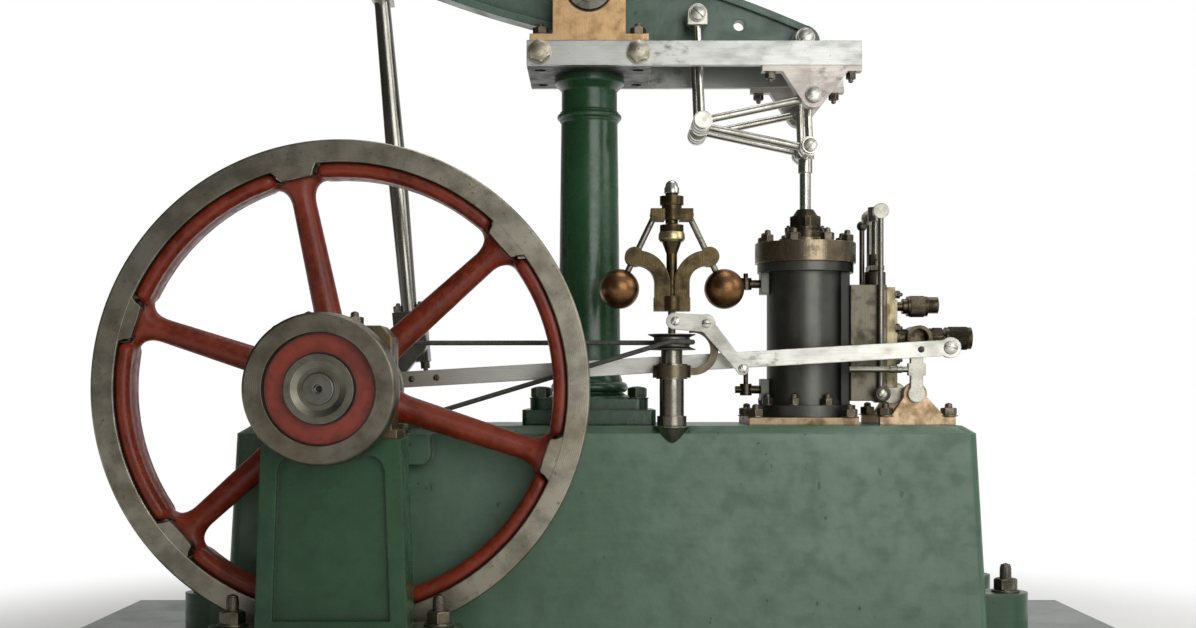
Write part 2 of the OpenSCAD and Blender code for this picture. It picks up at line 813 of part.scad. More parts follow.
// A grooved pulley about Z, centred on its groove, with the belt's path at radius path_r.
module grooved_pulley(path_r, half, r) {
    rim = path_r + 2;
    floor_r = path_r - belt_r - gap - 0.3;
    floor_half = half * 0.6;
    rotate_extrude($fn = 72)
        polygon([[r, -half], [rim, -half], [rim, 0.6 - half], [floor_r, -floor_half],
                 [floor_r, floor_half], [rim, half - 0.6], [rim, half], [r, half]]);
}

// The belt from the crankshaft to the governor, turned a quarter on its way, as one skin.
// Each run leaves its pulley where it is tangent to it, as seen along that pulley's axis.
module governor_belt() {
    sides = 12;
    crank_steps = 14;
    gov_steps = 9;
    reach = [gov_x - crank_x, gov_pulley_z];
    lift = atan2(reach[1], reach[0]);
    wrap = acos(crank_belt_r / norm(reach));
    plan = [-reach[0], gov_front - drive_y];
    aim = atan2(plan[1], plan[0]);
    turn = acos(gov_belt_r / norm(plan));
    rings = concat(
        [for (k = [0 : crank_steps]) let (a = lift - wrap - k * (360 - 2 * wrap) / crank_steps)
            belt_ring([crank_x, -drive_y, 0], crank_belt_r, [cos(a), 0, sin(a)], [0, 1, 0], 0, sides)],
        [for (k = [0 : gov_steps]) let (a = aim - turn - k * (360 - 2 * turn) / gov_steps)
            belt_ring([gov_x, -gov_front, gov_pulley_z], gov_belt_r, [cos(a), sin(a), 0],
                      [0, 0, 1], 90, sides)]);
    last = len(rings) - 1;
    color("#26262a") engine() polyhedron(
        [for (ring = rings) each ring],
        [for (i = [0 : last], k = [0 : sides - 1])
            let (j = i == last ? 0 : i + 1, s = i == last ? sides / 2 : 0,
                 a = i * sides + k, b = i * sides + (k + 1) % sides,
                 c = j * sides + (k + 1 + s) % sides, d = j * sides + (k + s) % sides)
            each [[a, b, c], [a, c, d]]]);
}

// Points round the belt where its path lies at radius r from a pulley's centre, along out.
function belt_ring(centre, r, out, axis, start, sides) =
    [for (k = [0 : sides - 1]) let (a = start == 0 ? 360 * k / sides : 90 - 360 * k / sides)
        centre + out * (r + belt_r * cos(a)) + axis * belt_r * sin(a)];

// The bent arm that carries the governor's lever, clipped to the stand.
module governor_bracket() {
    r = 17;
    half = 3;
    clip_z = 9;
    clip_h = 10;
    clip_r = stand_r + stand_ring;
    bend = [17, 31];
    color("#7a5a3a") engine() translate([gov_x, -gov_front, 0]) {
        difference() {
            translate([0, 0, clip_z]) cylinder(r = clip_r + 2.75, h = clip_h);
            translate([0, 0, clip_z - 1]) cylinder(r = clip_r + 0.02, h = clip_h + 2);
        }
        plate_y(-half, half) {
            translate([clip_r + 0.5, clip_z + 2]) square([5, 6]);
            translate(bend) difference() {
                intersection() {
                    circle(r + half);
                    translate([-3, -30]) square([40, 48]);
                }
                circle(r - half);
            }
            translate(lever_at) circle(6);
        }
        bar_y(lever_at, 2.5, -9, half);
    }
}

// The pale bell crank of the governor: one arm to the spindle and one down to its rod's pin.
module governor_lever() {
    nose = [2, 54];
    nose_r = 6.8;
    boss_r = 7.5;
    end_r = 5;
    y0 = -8;
    y1 = -4;
    color("#d9d8d2") engine() translate([gov_x, -gov_front, 0]) difference() {
        union() {
            bar_y(nose, nose_r, y0, y1);
            bar_y(lever_at, boss_r, y0, y1);
            bar_y(lever_end, end_r, y0, y1);
            plate_y(y0, y1)
                polygon([nose + [0, nose_r - 0.3], lever_at + [0, boss_r - 0.5],
                         lever_at - [0, boss_r - 0.5], nose - [0, nose_r - 0.3]]);
            plate_y(y0, y1)
                polygon([lever_at + [-5, -4], lever_at + [boss_r - 0.5, 0],
                         lever_end + [4, 2], lever_end - [3.5, 3]]);
        }
        bar_y(lever_at, 2.5 + run_fit, y0 - 1, y1 + 1);
    }
}

// The crankshaft with its web, and the hollow that the lathe centre left in its end.
module crankshaft() {
    y0 = -pulley_front - 2;
    centre_r = 3.2;
    centre_d = 6;
    color("#8a8f85") engine() difference() {
        union() {
            bar_y([crank_x, 0], shaft_r, y0, -web_back);
            web();
        }
        bar_y([crank_x, 0], centre_r, y0 - 1, y0 + centre_d);
    }
}

module web() {
    d = crank_pin - [crank_x, 0];
    u = d / norm(d);
    n = [-u[1], u[0]];
    a = [crank_x, 0];
    plate_y(-web_back - web_t, -web_back) {
        translate(a) circle(web_shaft_r, $fn = 64);
        translate(crank_pin) circle(web_pin_r, $fn = 64);
        polygon([a + n * (web_shaft_r - 1), a - n * (web_shaft_r - 1),
                 crank_pin - n * (web_pin_r - 1), crank_pin + n * (web_pin_r - 1)]);
    }
}

// The flywheel: a rim with a rounded inner ring, a hub and round spokes that flare at the rim.
module flywheel() {
    r1 = wheel_r - band_d;
    r2 = r1 - ring_d;
    pad_in = r2 + 1;
    pad_w = 28;
    mid = -rim_front + rim_w / 2;
    turns = [for (k = [0 : spokes - 1]) spoke_turn + 360 * k / spokes];
    color("#8b3a2b") engine() translate([crank_x, mid, 0]) rotate([90, 0, 0]) difference() {
        union() {
            difference() {
                translate([0, 0, -rim_w / 2]) cylinder(r = wheel_r, h = rim_w, $fn = 120);
                translate([0, 0, -rim_w]) cylinder(r = r1, h = 2 * rim_w, $fn = 120);
            }
            rotate_extrude($fn = 120) ring_section(r1, r2);
            translate([0, 0, -rim_w / 2]) cylinder(r = hub_r, h = rim_w, $fn = 72);
            for (a = turns) rotate([0, 0, a]) {
                rotate([0, 90, 0]) rotate_extrude() spoke_section(hub_r - 6, r2 + 2);
                translate([pad_in, -pad_w / 2, 1 - rim_w / 2]) cube([band_d, pad_w, rim_w - 2]);
            }
        }
        translate([0, 0, -rim_w]) cylinder(r = shaft_r, h = 2 * rim_w, $fn = 64);
    }
}

// The painted ring's section: a flat strip with a half-round bead on each side.
module ring_section(r1, r2) {
    bead = ring_d / 2 + 0.2;
    side = ring_w / 2 - bead;
    translate([r2, -side]) square([ring_d + 1, 2 * side]);
    for (s = [-1, 1]) translate([r1 - ring_d / 2, s * side]) circle(bead, $fn = 48);
}

// Half of a spoke's outline, from radius a to radius b, with a flare that ends tangent to the rim.
module spoke_section(a, b) {
    flare = 7;
    steps = 5;
    polygon(concat([[0, a], [spoke_r, a]],
                   [for (k = [0 : steps]) [spoke_tip_r + flare * (1 - cos(90 * k / steps)),
                                           b - flare + flare * sin(90 * k / steps)]],
                   [[0, b]]));
}

// The overhung belt pulley with a recess in its face and a bright boss.
module front_pulley() {
    face = recess_d + 1;
    dish_r = 22;
    bevel = 1.5;
    color("#6a6455") engine() translate([crank_x, -pulley_front, 0]) rotate([-90, 0, 0]) difference() {
        rotate_extrude($fn = 96)
            polygon([[shaft_r, 0], [pulley_r - bevel, 0], [pulley_r, bevel], [pulley_r + 0.8, pulley_w / 2],
                     [pulley_r, pulley_w - bevel], [pulley_r - bevel, pulley_w], [shaft_r, pulley_w]]);
        translate([0, 0, -1]) difference() {
            cylinder(r = recess_r, h = face, $fn = 96);
            cylinder(r = pulley_boss_r, h = face, $fn = 72);
        }
        translate([0, 0, -1]) cylinder(r1 = dish_r + 1, r2 = dish_r - 7, h = 2.5, $fn = 72);
    }
}

module eccentric_sheave() {
    lip = strap_half + 1;
    hub_back = 11;
    color("#8a8f85") engine() difference() {
        union() {
            bar_y(ecc_at, sheave_r, -ecc_y - lip, lip - ecc_y);
            bar_y([crank_x, 0], shaft_r + 5, lip - ecc_y, hub_back - ecc_y);
        }
        bar_y([crank_x, 0], shaft_r, -ecc_y - 2 * lip, 2 * hub_back - ecc_y);
    }
}

module drive_pulley() {
    color("#3a3a3a") engine() translate([crank_x, -drive_y, 0]) rotate([90, 0, 0])
        grooved_pulley(crank_belt_r, drive_half, shaft_r);
}

// The eccentric's strap with its long flat rod, ending in an eye above the rocker.
module eccentric_rod() {
    strap_r = sheave_r + 7;
    eye = 8.5;
    eye_hole = 4;
    d = rod_end - ecc_at;
    color("#d9d8d2") engine() difference() {
        union() {
            bar_y(ecc_at, strap_r, -ecc_y - strap_half, strap_half - ecc_y);
            translate([ecc_at[0], 0, ecc_at[1]]) rotate([0, -atan2(d[1], d[0]), 0])
                span([sheave_r + 5, -ecc_y - strap_half, -rod_half],
                     [norm(d), strap_half - ecc_y, rod_half]);
            bar_y(rod_end, eye, -ecc_y - strap_half, strap_half - ecc_y);
        }
        bar_y(ecc_at, sheave_r + run_fit, -ecc_y - strap_half - 1, strap_half + 1 - ecc_y);
        bar_y(rod_end, eye_hole, -ecc_y - strap_half - 1, -ecc_y);
    }
}

module governor_spindle() {
    z0 = gov_pulley_z - gov_half;
    foot = 1;
    color("#55524a") engine() translate([gov_x, -gov_front, 0]) {
        translate([0, 0, foot]) cylinder(r = gov_foot_r, h = z0);
        translate([0, 0, z0]) cylinder(r = gov_spindle_r, h = collar_z - z0);
        translate([0, 0, gov_pulley_z]) grooved_pulley(gov_belt_r, gov_half, 0);
    }
}

// The two-horned frame that the ball arms pass through, with the cup and funnel between.
module governor_frame() {
    half = 6.5;
    slot = 3.6;
    slot_in = 18;
    slot_z1 = 125;
    z1 = frame_z0 + frame_base;
    tube = 4.3;
    cup_r = 9.5;
    cup_z0 = 108;
    cup_z1 = 118;
    color("#5a4a1e") engine() translate([gov_x, -gov_front, 0]) {
        difference() {
            union() {
                plate_y(-half, half) for (s = [0, 1]) mirror([s, 0]) horn();
                translate([0, 0, frame_z0]) cylinder(r = 9, h = frame_base);
            }
            for (s = [0, 1]) mirror([s, 0, 0])
                span([slot_in, -slot, frame_z0 - 2], [ball_out, slot, slot_z1]);
            translate([0, 0, frame_z0 - 1]) cylinder(r = gov_spindle_r, h = collar_z);
            translate([0, 0, z1]) cylinder(r = tube + 0.1, h = collar_z);
        }
        rotate_extrude() polygon([[gov_spindle_r, z1], [tube, z1], [tube, cup_z0], [cup_r - 1.5, cup_z1],
                                  [cup_r, cup_z1 + 3], [cup_r, collar_z - 1],
                                  [gov_spindle_r, collar_z - 1]]);
    }
}

// One horn of the frame, drawn in x and z.
module horn() {
    c = [28, 84.5];
    outer = 26;
    inner = 14;
    tip = ball_at + [-12.1, 25.5];
    translate([2, frame_z0]) square([12.5, 11]);
    translate([2, frame_z0 + 10]) square([12, 13]);
    intersection() {
        translate(c) difference() {
            circle(outer, $fn = 64);
            circle(inner);
        }
        translate([0, c[1]]) square([c[0], 40]);
    }
    translate(tip) circle(7.8);
}

// The collar on the spindle's top: cheeks and pins for the two arms, and the turned finial.
module governor_collar() {
    cheek = 4.9;
    cheek_half = 1.3;
    pin_half = cheek + cheek_half;
    color("#5a4a1e") engine() translate([gov_x, -gov_front, collar_z]) {
        cylinder(r = 5, h = 4);
        translate([0, 0, 3]) cylinder(r = 8, h = 12);
        translate([0, 0, 15]) cylinder(r = 9.5, h = 7);
        translate([0, 0, 22]) cylinder(r = 5, h = 4);
        translate([0, 0, 27.5]) sphere(5.5, $fn = 32);
        for (s = [0, 1], t = [-1, 1]) mirror([s, 0, 0]) translate([0, t * cheek, 0])
            span([6, -cheek_half, 2], [arm_top[0] + 3.4, cheek_half, 12]);
        for (s = [-1, 1])
            bar_y([s * arm_top[0], arm_top[1] - collar_z], arm_pin, -pin_half, pin_half);
    }
}

// A ball arm: its eye at the collar, its boss in the horn and the ball at its end.
module ball_arm() {
    rod_r = 2.5;
    half = 3.3;
    boss_at = 0.56;
    color("#6b4426") engine() translate([gov_x, -gov_front, 0]) difference() {
        union() {
            rod_between(arm_top, ball_at, rod_r, 0);
            bar_y(arm_top, 4, -half, half);
            translate([ball_out, 0, ball_z]) sphere(ball_r, $fn = 48);
            bar_y(arm_top + (ball_at - arm_top) * boss_at, 5.5, -half, half);
        }
        bar_y(arm_top, arm_pin + run_fit, -half - 1, half + 1);
    }
}

module right_ball_arm() ball_arm();
module left_ball_arm() translate([2 * gov_x, 0, 0]) mirror([1, 0, 0]) ball_arm();

// Half depth of the beam at a distance t from its pivot.
function beam_h(t) = beam_mid_h - (beam_mid_h - beam_end_h) * pow(t / beam_half, 2);

// The beam's outline shrunk by d.
module beam_outline(d) {
    steps = 24;
    ts = [for (k = [0 : steps]) beam_half * (2 * k / steps - 1)];
    polygon(concat([for (t = ts) [t, beam_h(t) - d]],
                   [for (k = [0 : steps]) [-ts[k], -beam_h(ts[k]) + d]]));
    for (s = [-1, 1]) translate([s * beam_half, 0]) circle(beam_end_h - d, $fn = 64);
}

module in_beam() {
    translate([pivot[0], 0, pivot[1]]) rotate([0, beam_tilt, 0]) children();
}

module beam() {
    hub = 26;
    boss = 10;
    hub_half = trunnion_in - 0.5;
    through = 2 * trunnion_in;
    eyes = [-1, 0.5, 1] * beam_half;
    color("#2f5a40") engine() in_beam() difference() {
        union() {
            plate_y(-beam_web_t / 2, beam_web_t / 2) beam_outline(beam_border - 0.5);
            plate_y(-beam_t / 2, beam_t / 2) difference() {
                beam_outline(0);
                beam_outline(beam_border);
            }
            bar_y([0, 0], hub, -hub_half, hub_half);
            for (t = eyes) bar_y([t, 0], boss, -boss_half, boss_half);
        }
        bar_y([0, 0], trunnion_r, -through, through);
        for (t = eyes) bar_y([t, 0], pin_r, -through, through);
        bar_y([hole_at, 4], hole_r, -through, through);
    }
}

// The beam's trunnion and the pins that its links hang from.
module beam_pins() {
    end = trunnion_in + trunnion_t + 4;
    fork_pin = fork_out + gap;
    color("#9a9a92") engine() in_beam() {
        bar_y([0, 0], trunnion_r, -end, end);
        for (t = [0.5, 1] * beam_half) {
            bar_y([t, 0], pin_r, -pin_end, pin_end);
            both_sides() bar_y([t, 0], pin_r + pin_head, eye_out + gap, pin_end);
        }
        bar_y([-beam_half, 0], pin_r, -fork_pin - pin_head, fork_pin + pin_head);
        both_sides() bar_y([-beam_half, 0], pin_r + pin_head, fork_pin, fork_pin + pin_head);
    }
}

// Runs a piece drawn up Z from the crank pin towards the beam's left end.
module on_rod() {
    d = beam_left - crank_pin;
    translate([crank_pin[0], 0, crank_pin[1]]) rotate([0, atan2(d[0], d[1]), 0]) children();
}

// The connecting rod: a strapped big end, a barrelled round shank and a fork for the beam.
module connecting_rod() {
    neck = rod_len - 40;
    fork_t = 14;
    fork_half = 8;
    big_low = 17;
    big_high = 26;
    color("#5a584f") engine() on_rod() difference() {
        union() {
            span([-big_w / 2, -big_t / 2, -big_low], [big_w / 2, big_t / 2, big_high]);
            translate([0, 0, big_high - 1])
                cylinder(r1 = rod_end_r, r2 = rod_mid_r, h = neck / 2 - big_high + 1);
            translate([0, 0, neck / 2]) cylinder(r1 = rod_mid_r, r2 = rod_end_r, h = neck / 2);
            span([-fork_half, -fork_out, neck], [fork_half, fork_out, neck + fork_t]);
            both_sides() {
                span([-fork_half, fork_in, neck + fork_t - 1], [fork_half, fork_out, rod_len]);
                bar_y([0, rod_len], fork_half + 3, fork_in, fork_out);
            }
        }
        bar_y([0, 0], crank_pin_r, -big_t, big_t);
        bar_y([0, rod_len], pin_r + run_fit, -2 * fork_out, 2 * fork_out);
    }
}

module crank_pin() {
    collar = 4;
    end = big_t / 2 + collar;
    color("#8a8f85") engine() {
        bar_y(crank_pin, crank_pin_r, gap - web_back, end);
        bar_y(crank_pin, crank_pin_r + collar, big_t / 2, end);
    }
}

// A round link between two pins, with a flat eye round each and bores at the points listed.
module link(p, q, y0, y1, bores) {
    difference() {
        union() {
            rod_between(p, q, link_r, (y0 + y1) / 2);
            bar_y(p, eye_r, y0, y1);
            bar_y(q, eye_r, y0, y1);
        }
        for (b = bores) bar_y(b, pin_r + run_fit, y0 - 1, y1 + 1);
    }
}

// A hanging link with the pin at its foot, which the parallel rod turns on.
module hanging_link(p, q) {
    both_sides() {
        link(p, q, eye_in, eye_out, [p]);
        bar_y(q, pin_r, par_in - gap, pin_end);
        bar_y(q, pin_r + pin_head, eye_out - 1, pin_end);
    }
}

module main_links() {
    color("#7a7a74") engine() hanging_link(beam_right, link_d);
}

module back_links() {
    color("#7a7a74") engine() hanging_link(beam_mid, link_c);
}

module parallel_rods() {
    color("#7a7a74") engine() both_sides()
        link(link_c, link_d, par_in, par_out, [link_c, link_d]);
}

module radius_rods() {
    color("#7a7a74") engine() both_sides() {
        link(fixed, link_c, rad_in, rad_out, [fixed]);
        bar_y(link_c, pin_r + pin_head, rad_out - 1, ent_half - 0.7);
    }
}

// The piston rod with its socket and the crosshead that the main links carry.
module piston_rod() {
    socket = 19;
    head_half = 7;
    color("#b8b8b0") engine() translate([cyl_x, 0, 0]) {
        translate([0, 0, piston_z]) cylinder(r = piston_rod_r, h = link_d[1] - piston_z);
        translate([0, 0, link_d[1] - socket]) cylinder(r = piston_rod_r + 1.25, h = socket - head_half);
        translate([0, 0, link_d[1] - head_half]) cylinder(r = head_half + 0.5, h = 2 * head_half);
        bar_y([0, link_d[1]], head_half - 2, -cross_half, cross_half);
    }
}

module piston() {
    color("#8a8f85") engine() translate([cyl_x, 0, piston_z - piston_t / 2]) difference() {
        cylinder(r = bore_r - gap, h = piston_t, $fn = 72);
        translate([0, 0, piston_t / 2]) cylinder(r = piston_rod_r, h = piston_t);
    }
}

// The rocker: its shaft, the upright drive lever with its clamp and hand bar, and the valve arms.
module rocker_lever() {
    at = [rocker_x, rocker_z];
    arm = [valve_x, rocker_z];
    y1 = -bearing_in - bearing_t - gap;
    y0 = y1 - 6;
    half = 5;
    clamp_z = at[1] + 15;
    clamp_h = 10;
    clamp_half = 7;
    hand_r = 3;
    hand_end = rocker_x - 55;
    collar_x = hand_end + 33;
    shank_z = clamp_z + clamp_h / 2;
    color("#d9d8d2") engine() {
        bar_y(at, rocker_r, y0, -y1);
        plate_y(y0, y1) {
            translate(at) circle(half + 2);
            translate(at - [half, 0]) square([2 * half, 32]);
        }
        span([at[0] - clamp_half, y0, clamp_z], [at[0] + clamp_half, y1, clamp_z + clamp_h]);
        translate([0, (y0 + y1) / 2, 0]) {
            bar_x(hand_end, at[0], shank_z, hand_r - 0.6);
            for (x = [0, 6]) bar_x(collar_x + x, collar_x + x + 4, shank_z, hand_r);
        }
        both_sides() plate_y(arm_in, arm_in + arm_t) {
            translate(at) circle(8);
            translate(arm) circle(6);
            polygon([at + [0, 6], at - [3, 7.4], arm + [6, -8], arm - [0, 4.5], arm + [0, 4.5]]);
        }
        both_sides() bar_y(arm, 2.2, arm_in - 4, arm_in + 1);
    }
}

// The valve's spindle, its crosshead and the two side rods down to the rocker's arms.
module valve_rod() {
    low = 20;
    y1 = arm_in - gap;
    rod_r = 2.3;
    eye = 6;
    pin = 2.65;
    color("#b8b8b0") engine() {
        translate([valve_x, 0, low]) cylinder(r = spindle_r, h = valve_top - low);
        translate([valve_x, 0, valve_top - eye]) cylinder(r = eye, h = 2 * eye);
        bar_y([valve_x, valve_top], 3.5, -y1, y1);
        both_sides() difference() {
            union() {
                rod_between([valve_x, rocker_z], [valve_x, valve_top], rod_r, y1 - link_t / 2);
                bar_y([valve_x, valve_top], eye + 0.5, y1 - link_t, y1);
                bar_y([valve_x, rocker_z], eye - 0.5, y1 - link_t, y1);
            }
            bar_y([valve_x, rocker_z], pin, 0, arm_in + arm_t);
        }
    }
}

base_plate();
bed();
pedestal();
pedestal_bearing();
main_bearing();
column();
entablature();
trunnion_bearings();
side_bars();
radius_brackets();
cylinder_base();
cylinder_body();
cylinder_cover();
piston_gland();
valve_chest();
chest_cover();
steam_inlet();
chest_oiler();
drain_cocks();
rocker_bearings();
governor_stand();
governor_belt();
governor_bracket();
governor_lever();
crankshaft();
flywheel();
front_pulley();
eccentric_sheave();
drive_pulley();
eccentric_rod();
governor_spindle();
governor_frame();
governor_collar();
left_ball_arm();
right_ball_arm();
beam();
beam_pins();
connecting_rod();
crank_pin();
main_links();
back_links();
parallel_rods();
radius_rods();
piston_rod();
piston();
rocker_lever();
valve_rod();
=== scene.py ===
import math

import bmesh
import bpy
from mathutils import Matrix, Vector


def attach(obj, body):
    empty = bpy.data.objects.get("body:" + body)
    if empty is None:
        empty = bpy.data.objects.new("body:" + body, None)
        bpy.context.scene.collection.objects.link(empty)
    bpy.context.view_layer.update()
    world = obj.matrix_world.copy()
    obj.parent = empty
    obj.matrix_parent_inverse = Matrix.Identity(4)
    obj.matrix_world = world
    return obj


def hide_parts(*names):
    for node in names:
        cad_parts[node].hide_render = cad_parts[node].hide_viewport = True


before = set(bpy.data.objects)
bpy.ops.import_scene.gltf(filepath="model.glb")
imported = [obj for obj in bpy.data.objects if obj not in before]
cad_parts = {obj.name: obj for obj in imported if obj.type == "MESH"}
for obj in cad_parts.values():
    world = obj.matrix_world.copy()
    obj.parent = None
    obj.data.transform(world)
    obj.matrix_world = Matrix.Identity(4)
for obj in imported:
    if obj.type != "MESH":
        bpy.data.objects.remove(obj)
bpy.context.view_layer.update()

# Base plate
# The slab that the whole engine stands on: mild steel, surface-ground along its
# length, then left bare in a workshop, so it carries faint grinding lines,
# finger marks and the brown freckles of light rust.


def linear(colour):
    """A colour written as sRGB hex, as the linear values that a shader takes."""
    parts = [int(colour[i:i + 2], 16) / 255 for i in (1, 3, 5)]
    return tuple(p / 12.92 if p <= 0.04045 else ((p + 0.055) / 1.055) ** 2.4 for p in parts) + (1.0,)


def feed(tree, node, inputs):
    """Gives a node its inputs: a value is set, a socket is linked, a node links its first output."""
    for name, given in inputs.items():
        if isinstance(given, bpy.types.Node):
            given = given.outputs[0]
        if isinstance(given, bpy.types.NodeSocket):
            tree.links.new(given, node.inputs[name])
        else:
            node.inputs[name].default_value = given
    return node


def add(tree, kind, inputs=None, **settings):
    """Adds a node with its settings and its inputs."""
    node = tree.nodes.new(kind)
    for name, value in settings.items():
        setattr(node, name, value)
    return feed(tree, node, inputs or {})


def new_finish(name, roughness, metallic):
    """A material with its shader in place, and the point on the piece in metres."""
    material = bpy.data.materials.new(name)
    material.use_nodes = True
    tree = material.node_tree
    tree.nodes.clear()
    shader = add(tree, "ShaderNodeBsdfPrincipled", {"Roughness": roughness, "Metallic": metallic})
    add(tree, "ShaderNodeOutputMaterial", {"Surface": shader})
    place = add(tree, "ShaderNodeTexCoord").outputs["Object"]
    return material, tree, shader, place


MATH, VECTOR_MATH, MAP_RANGE = "ShaderNodeMath", "ShaderNodeVectorMath", "ShaderNodeMapRange"


def patches(tree, place, size, low, high, stretch=(1, 1, 1)):
    """Soft patches about size metres wide, drawn out by stretch: 0 below low, 1 above high."""
    scaled = add(tree, VECTOR_MATH, {0: place, 1: [1 / (size * s) for s in stretch]}, operation="MULTIPLY")
    noise = add(tree, "ShaderNodeTexNoise",
                {"Vector": scaled, "Scale": 1.0, "Detail": 4.0, "Roughness": 0.6})
    return add(tree, MAP_RANGE, {"Value": noise, "From Min": low, "From Max": high},
               interpolation_type="SMOOTHSTEP")


def tint(tree, under, over, amount, factor):
    """Colour over laid on colour under, as thick as amount times the factor."""
    share = add(tree, MATH, {0: factor, 1: amount}, operation="MULTIPLY")
    if isinstance(under, str):
        under = linear(under)
    # A mix of colours takes them at inputs 6 and 7, and gives its colour at output 2.
    return add(tree, "ShaderNodeMix", {0: share, 6: under, 7: linear(over)}, data_type="RGBA").outputs[2]


def surface(tree, shader, colour, height, depth, normal, rough=None, metallic=None):
    """Ends a finish: its colour, a height of 0 to 1 that stands depth metres out of the surface, and
    where they vary its roughness, as (value, roughness at 0, roughness at 1), and its metallic share."""
    bump = add(tree, "ShaderNodeBump", {"Height": height, "Distance": depth, "Normal": normal})
    feed(tree, shader, {"Base Color": colour, "Normal": bump})
    if rough:
        value, low, high = rough
        varied = add(tree, MAP_RANGE, {"Value": value, "To Min": low, "To Max": high})
        feed(tree, shader, {"Roughness": varied})
    if metallic:
        feed(tree, shader, {"Metallic": metallic})


def dress(material, slot, *nodes):
    """Gives CAD nodes their finish."""
    for name in nodes:
        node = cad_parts[name]
        for place in node.material_slots:
            place.material = material


def ground_steel():
    """Surface-ground mild steel: an even grey with fine lines one way and brown freckles."""
    finish, tree, shader, place = new_finish("ground_mild_steel", 0.42, 1.0)
    # Grinding lines are 0.2 mm apart on the real slab; drawn at 1.2 mm so that they show.
    lines = patches(tree, place, 0.0012, 0.35, 0.65, (60, 1, 1))
    clouds = patches(tree, place, 0.09, 0.35, 0.7)
    rust = patches(tree, place, 0.006, 0.62, 0.72)
    soft = add(tree, "ShaderNodeBevel", {"Radius": 0.0015}, samples=4)
    colour = tint(tree, "#a2a5a0", "#7d817c", 0.8, clouds)
    colour = tint(tree, colour, "#8c8f8b", 0.5, lines)
    colour = tint(tree, colour, "#6a5643", 0.6, rust)
    surface(tree, shader, colour, lines, 0.00003, soft, (clouds, 0.38, 0.55))
    return finish


dress(ground_steel(), "slab_steel", "base_plate")

# Bed, pedestal and column
# Iron castings, filled, rubbed down and brushed with green engine enamel. The
# coat is old: it has faded on the bed's long side, and is rubbed and chipped
# along its edges. Shade is painted into the corners where faces meet.
BARE_IRON, CHIPPED_TO_PRIMER, LUG_GREEN = "#4a4238", "#25332a", "#2a4a30"
# How far the painted corner shade reaches out of the corners, in metres.
CORNER_SHADE_REACH = 0.009
LUGS_START = 0.3095


def ridges(tree, soft):
    """Where edges are: 1 where the rounded surface's direction, soft, is far from the flat one's."""
    flat = add(tree, "ShaderNodeNewGeometry").outputs["Normal"]
    facing = add(tree, VECTOR_MATH, {0: soft, 1: flat}, operation="DOT_PRODUCT").outputs["Value"]
    # The two normals part by 10 degrees where an edge begins, and by 37 on its ridge.
    return add(tree, MAP_RANGE, {"Value": facing, "From Min": 0.985, "From Max": 0.8})


def engine_enamel(name, colour, faded, dirt_and_shade, sheen=0.34, gloss=0.4, lugs=None):
    """Brushed oil enamel on cast iron: soft gloss, slow fading, oily streaks, small dark chips."""
    finish, tree, shader, place = new_finish(name, sheen, 0.0)
    feed(tree, shader, {"Coat Weight": 0.12, "Coat Roughness": 0.2, "Specular IOR Level": gloss})
    clouds = patches(tree, place, 0.11, 0.38, 0.68)
    mottle = patches(tree, place, 0.018, 0.4, 0.7)
    brushed = patches(tree, place, 0.0045, 0.35, 0.75, (14, 14, 1))
    chips = patches(tree, place, 0.011, 0.685, 0.705, (0.8, 1, 1.4))
    nicks = patches(tree, place, 0.004, 0.7, 0.73)
    stains = patches(tree, place, 0.035, 0.66, 0.8, (1, 1, 1.5))
    rub = patches(tree, place, 0.008, 0.5, 0.62)
    soft = add(tree, "ShaderNodeBevel", {"Radius": 0.0022}, samples=4)
    edge = ridges(tree, soft)
    colour = tint(tree, colour, faded, 0.75, clouds)
    if lugs:
        # The faded coat ends at the bed's lugs, which stand out past lugs metres from the middle.
        along = add(tree, "ShaderNodeSeparateXYZ", {0: place}).outputs["X"]
        outward = add(tree, MATH, {0: along}, operation="ABSOLUTE")
        beyond = add(tree, MATH, {0: outward, 1: lugs}, operation="GREATER_THAN")
        colour = tint(tree, colour, LUG_GREEN, 0.9, beyond)
    colour = tint(tree, colour, dirt_and_shade, 0.22, mottle)
    colour = tint(tree, colour, faded, 0.12, brushed)
    colour = tint(tree, colour, dirt_and_shade, 0.4, stains)
    # Painted shade darkens the corners where faces meet, for about 9 mm.
    open_to = add(tree, "ShaderNodeAmbientOcclusion", {"Distance": CORNER_SHADE_REACH}, samples=4).outputs["AO"]
    corners = add(tree, MAP_RANGE, {"Value": open_to, "From Min": 0.94, "From Max": 0.5})
    colour = tint(tree, colour, dirt_and_shade, 0.85, corners)
    colour = tint(tree, colour, faded, 0.8, edge)
    worn = add(tree, MATH, {0: edge, 1: rub}, operation="MULTIPLY")
    colour = tint(tree, colour, BARE_IRON, 0.45, worn)
    colour = tint(tree, colour, CHIPPED_TO_PRIMER, 0.75, chips)
    colour = tint(tree, colour, CHIPPED_TO_PRIMER, 0.6, nicks)
    # Brush marks and filler: 0.1 mm deep waves about 9 mm wide.
    waves = patches(tree, place, 0.009, 0.2, 0.8)
    surface(tree, shader, colour, waves, 0.0001, soft, (mottle, sheen - 0.05, sheen + 0.16))
    return finish


# The bed's own coat has faded on its long sides only; its lugs keep the deeper green.
bed_enamel = engine_enamel("faded_green_enamel", "#45624b", "#5e7865", "#283c2c", lugs=LUGS_START)
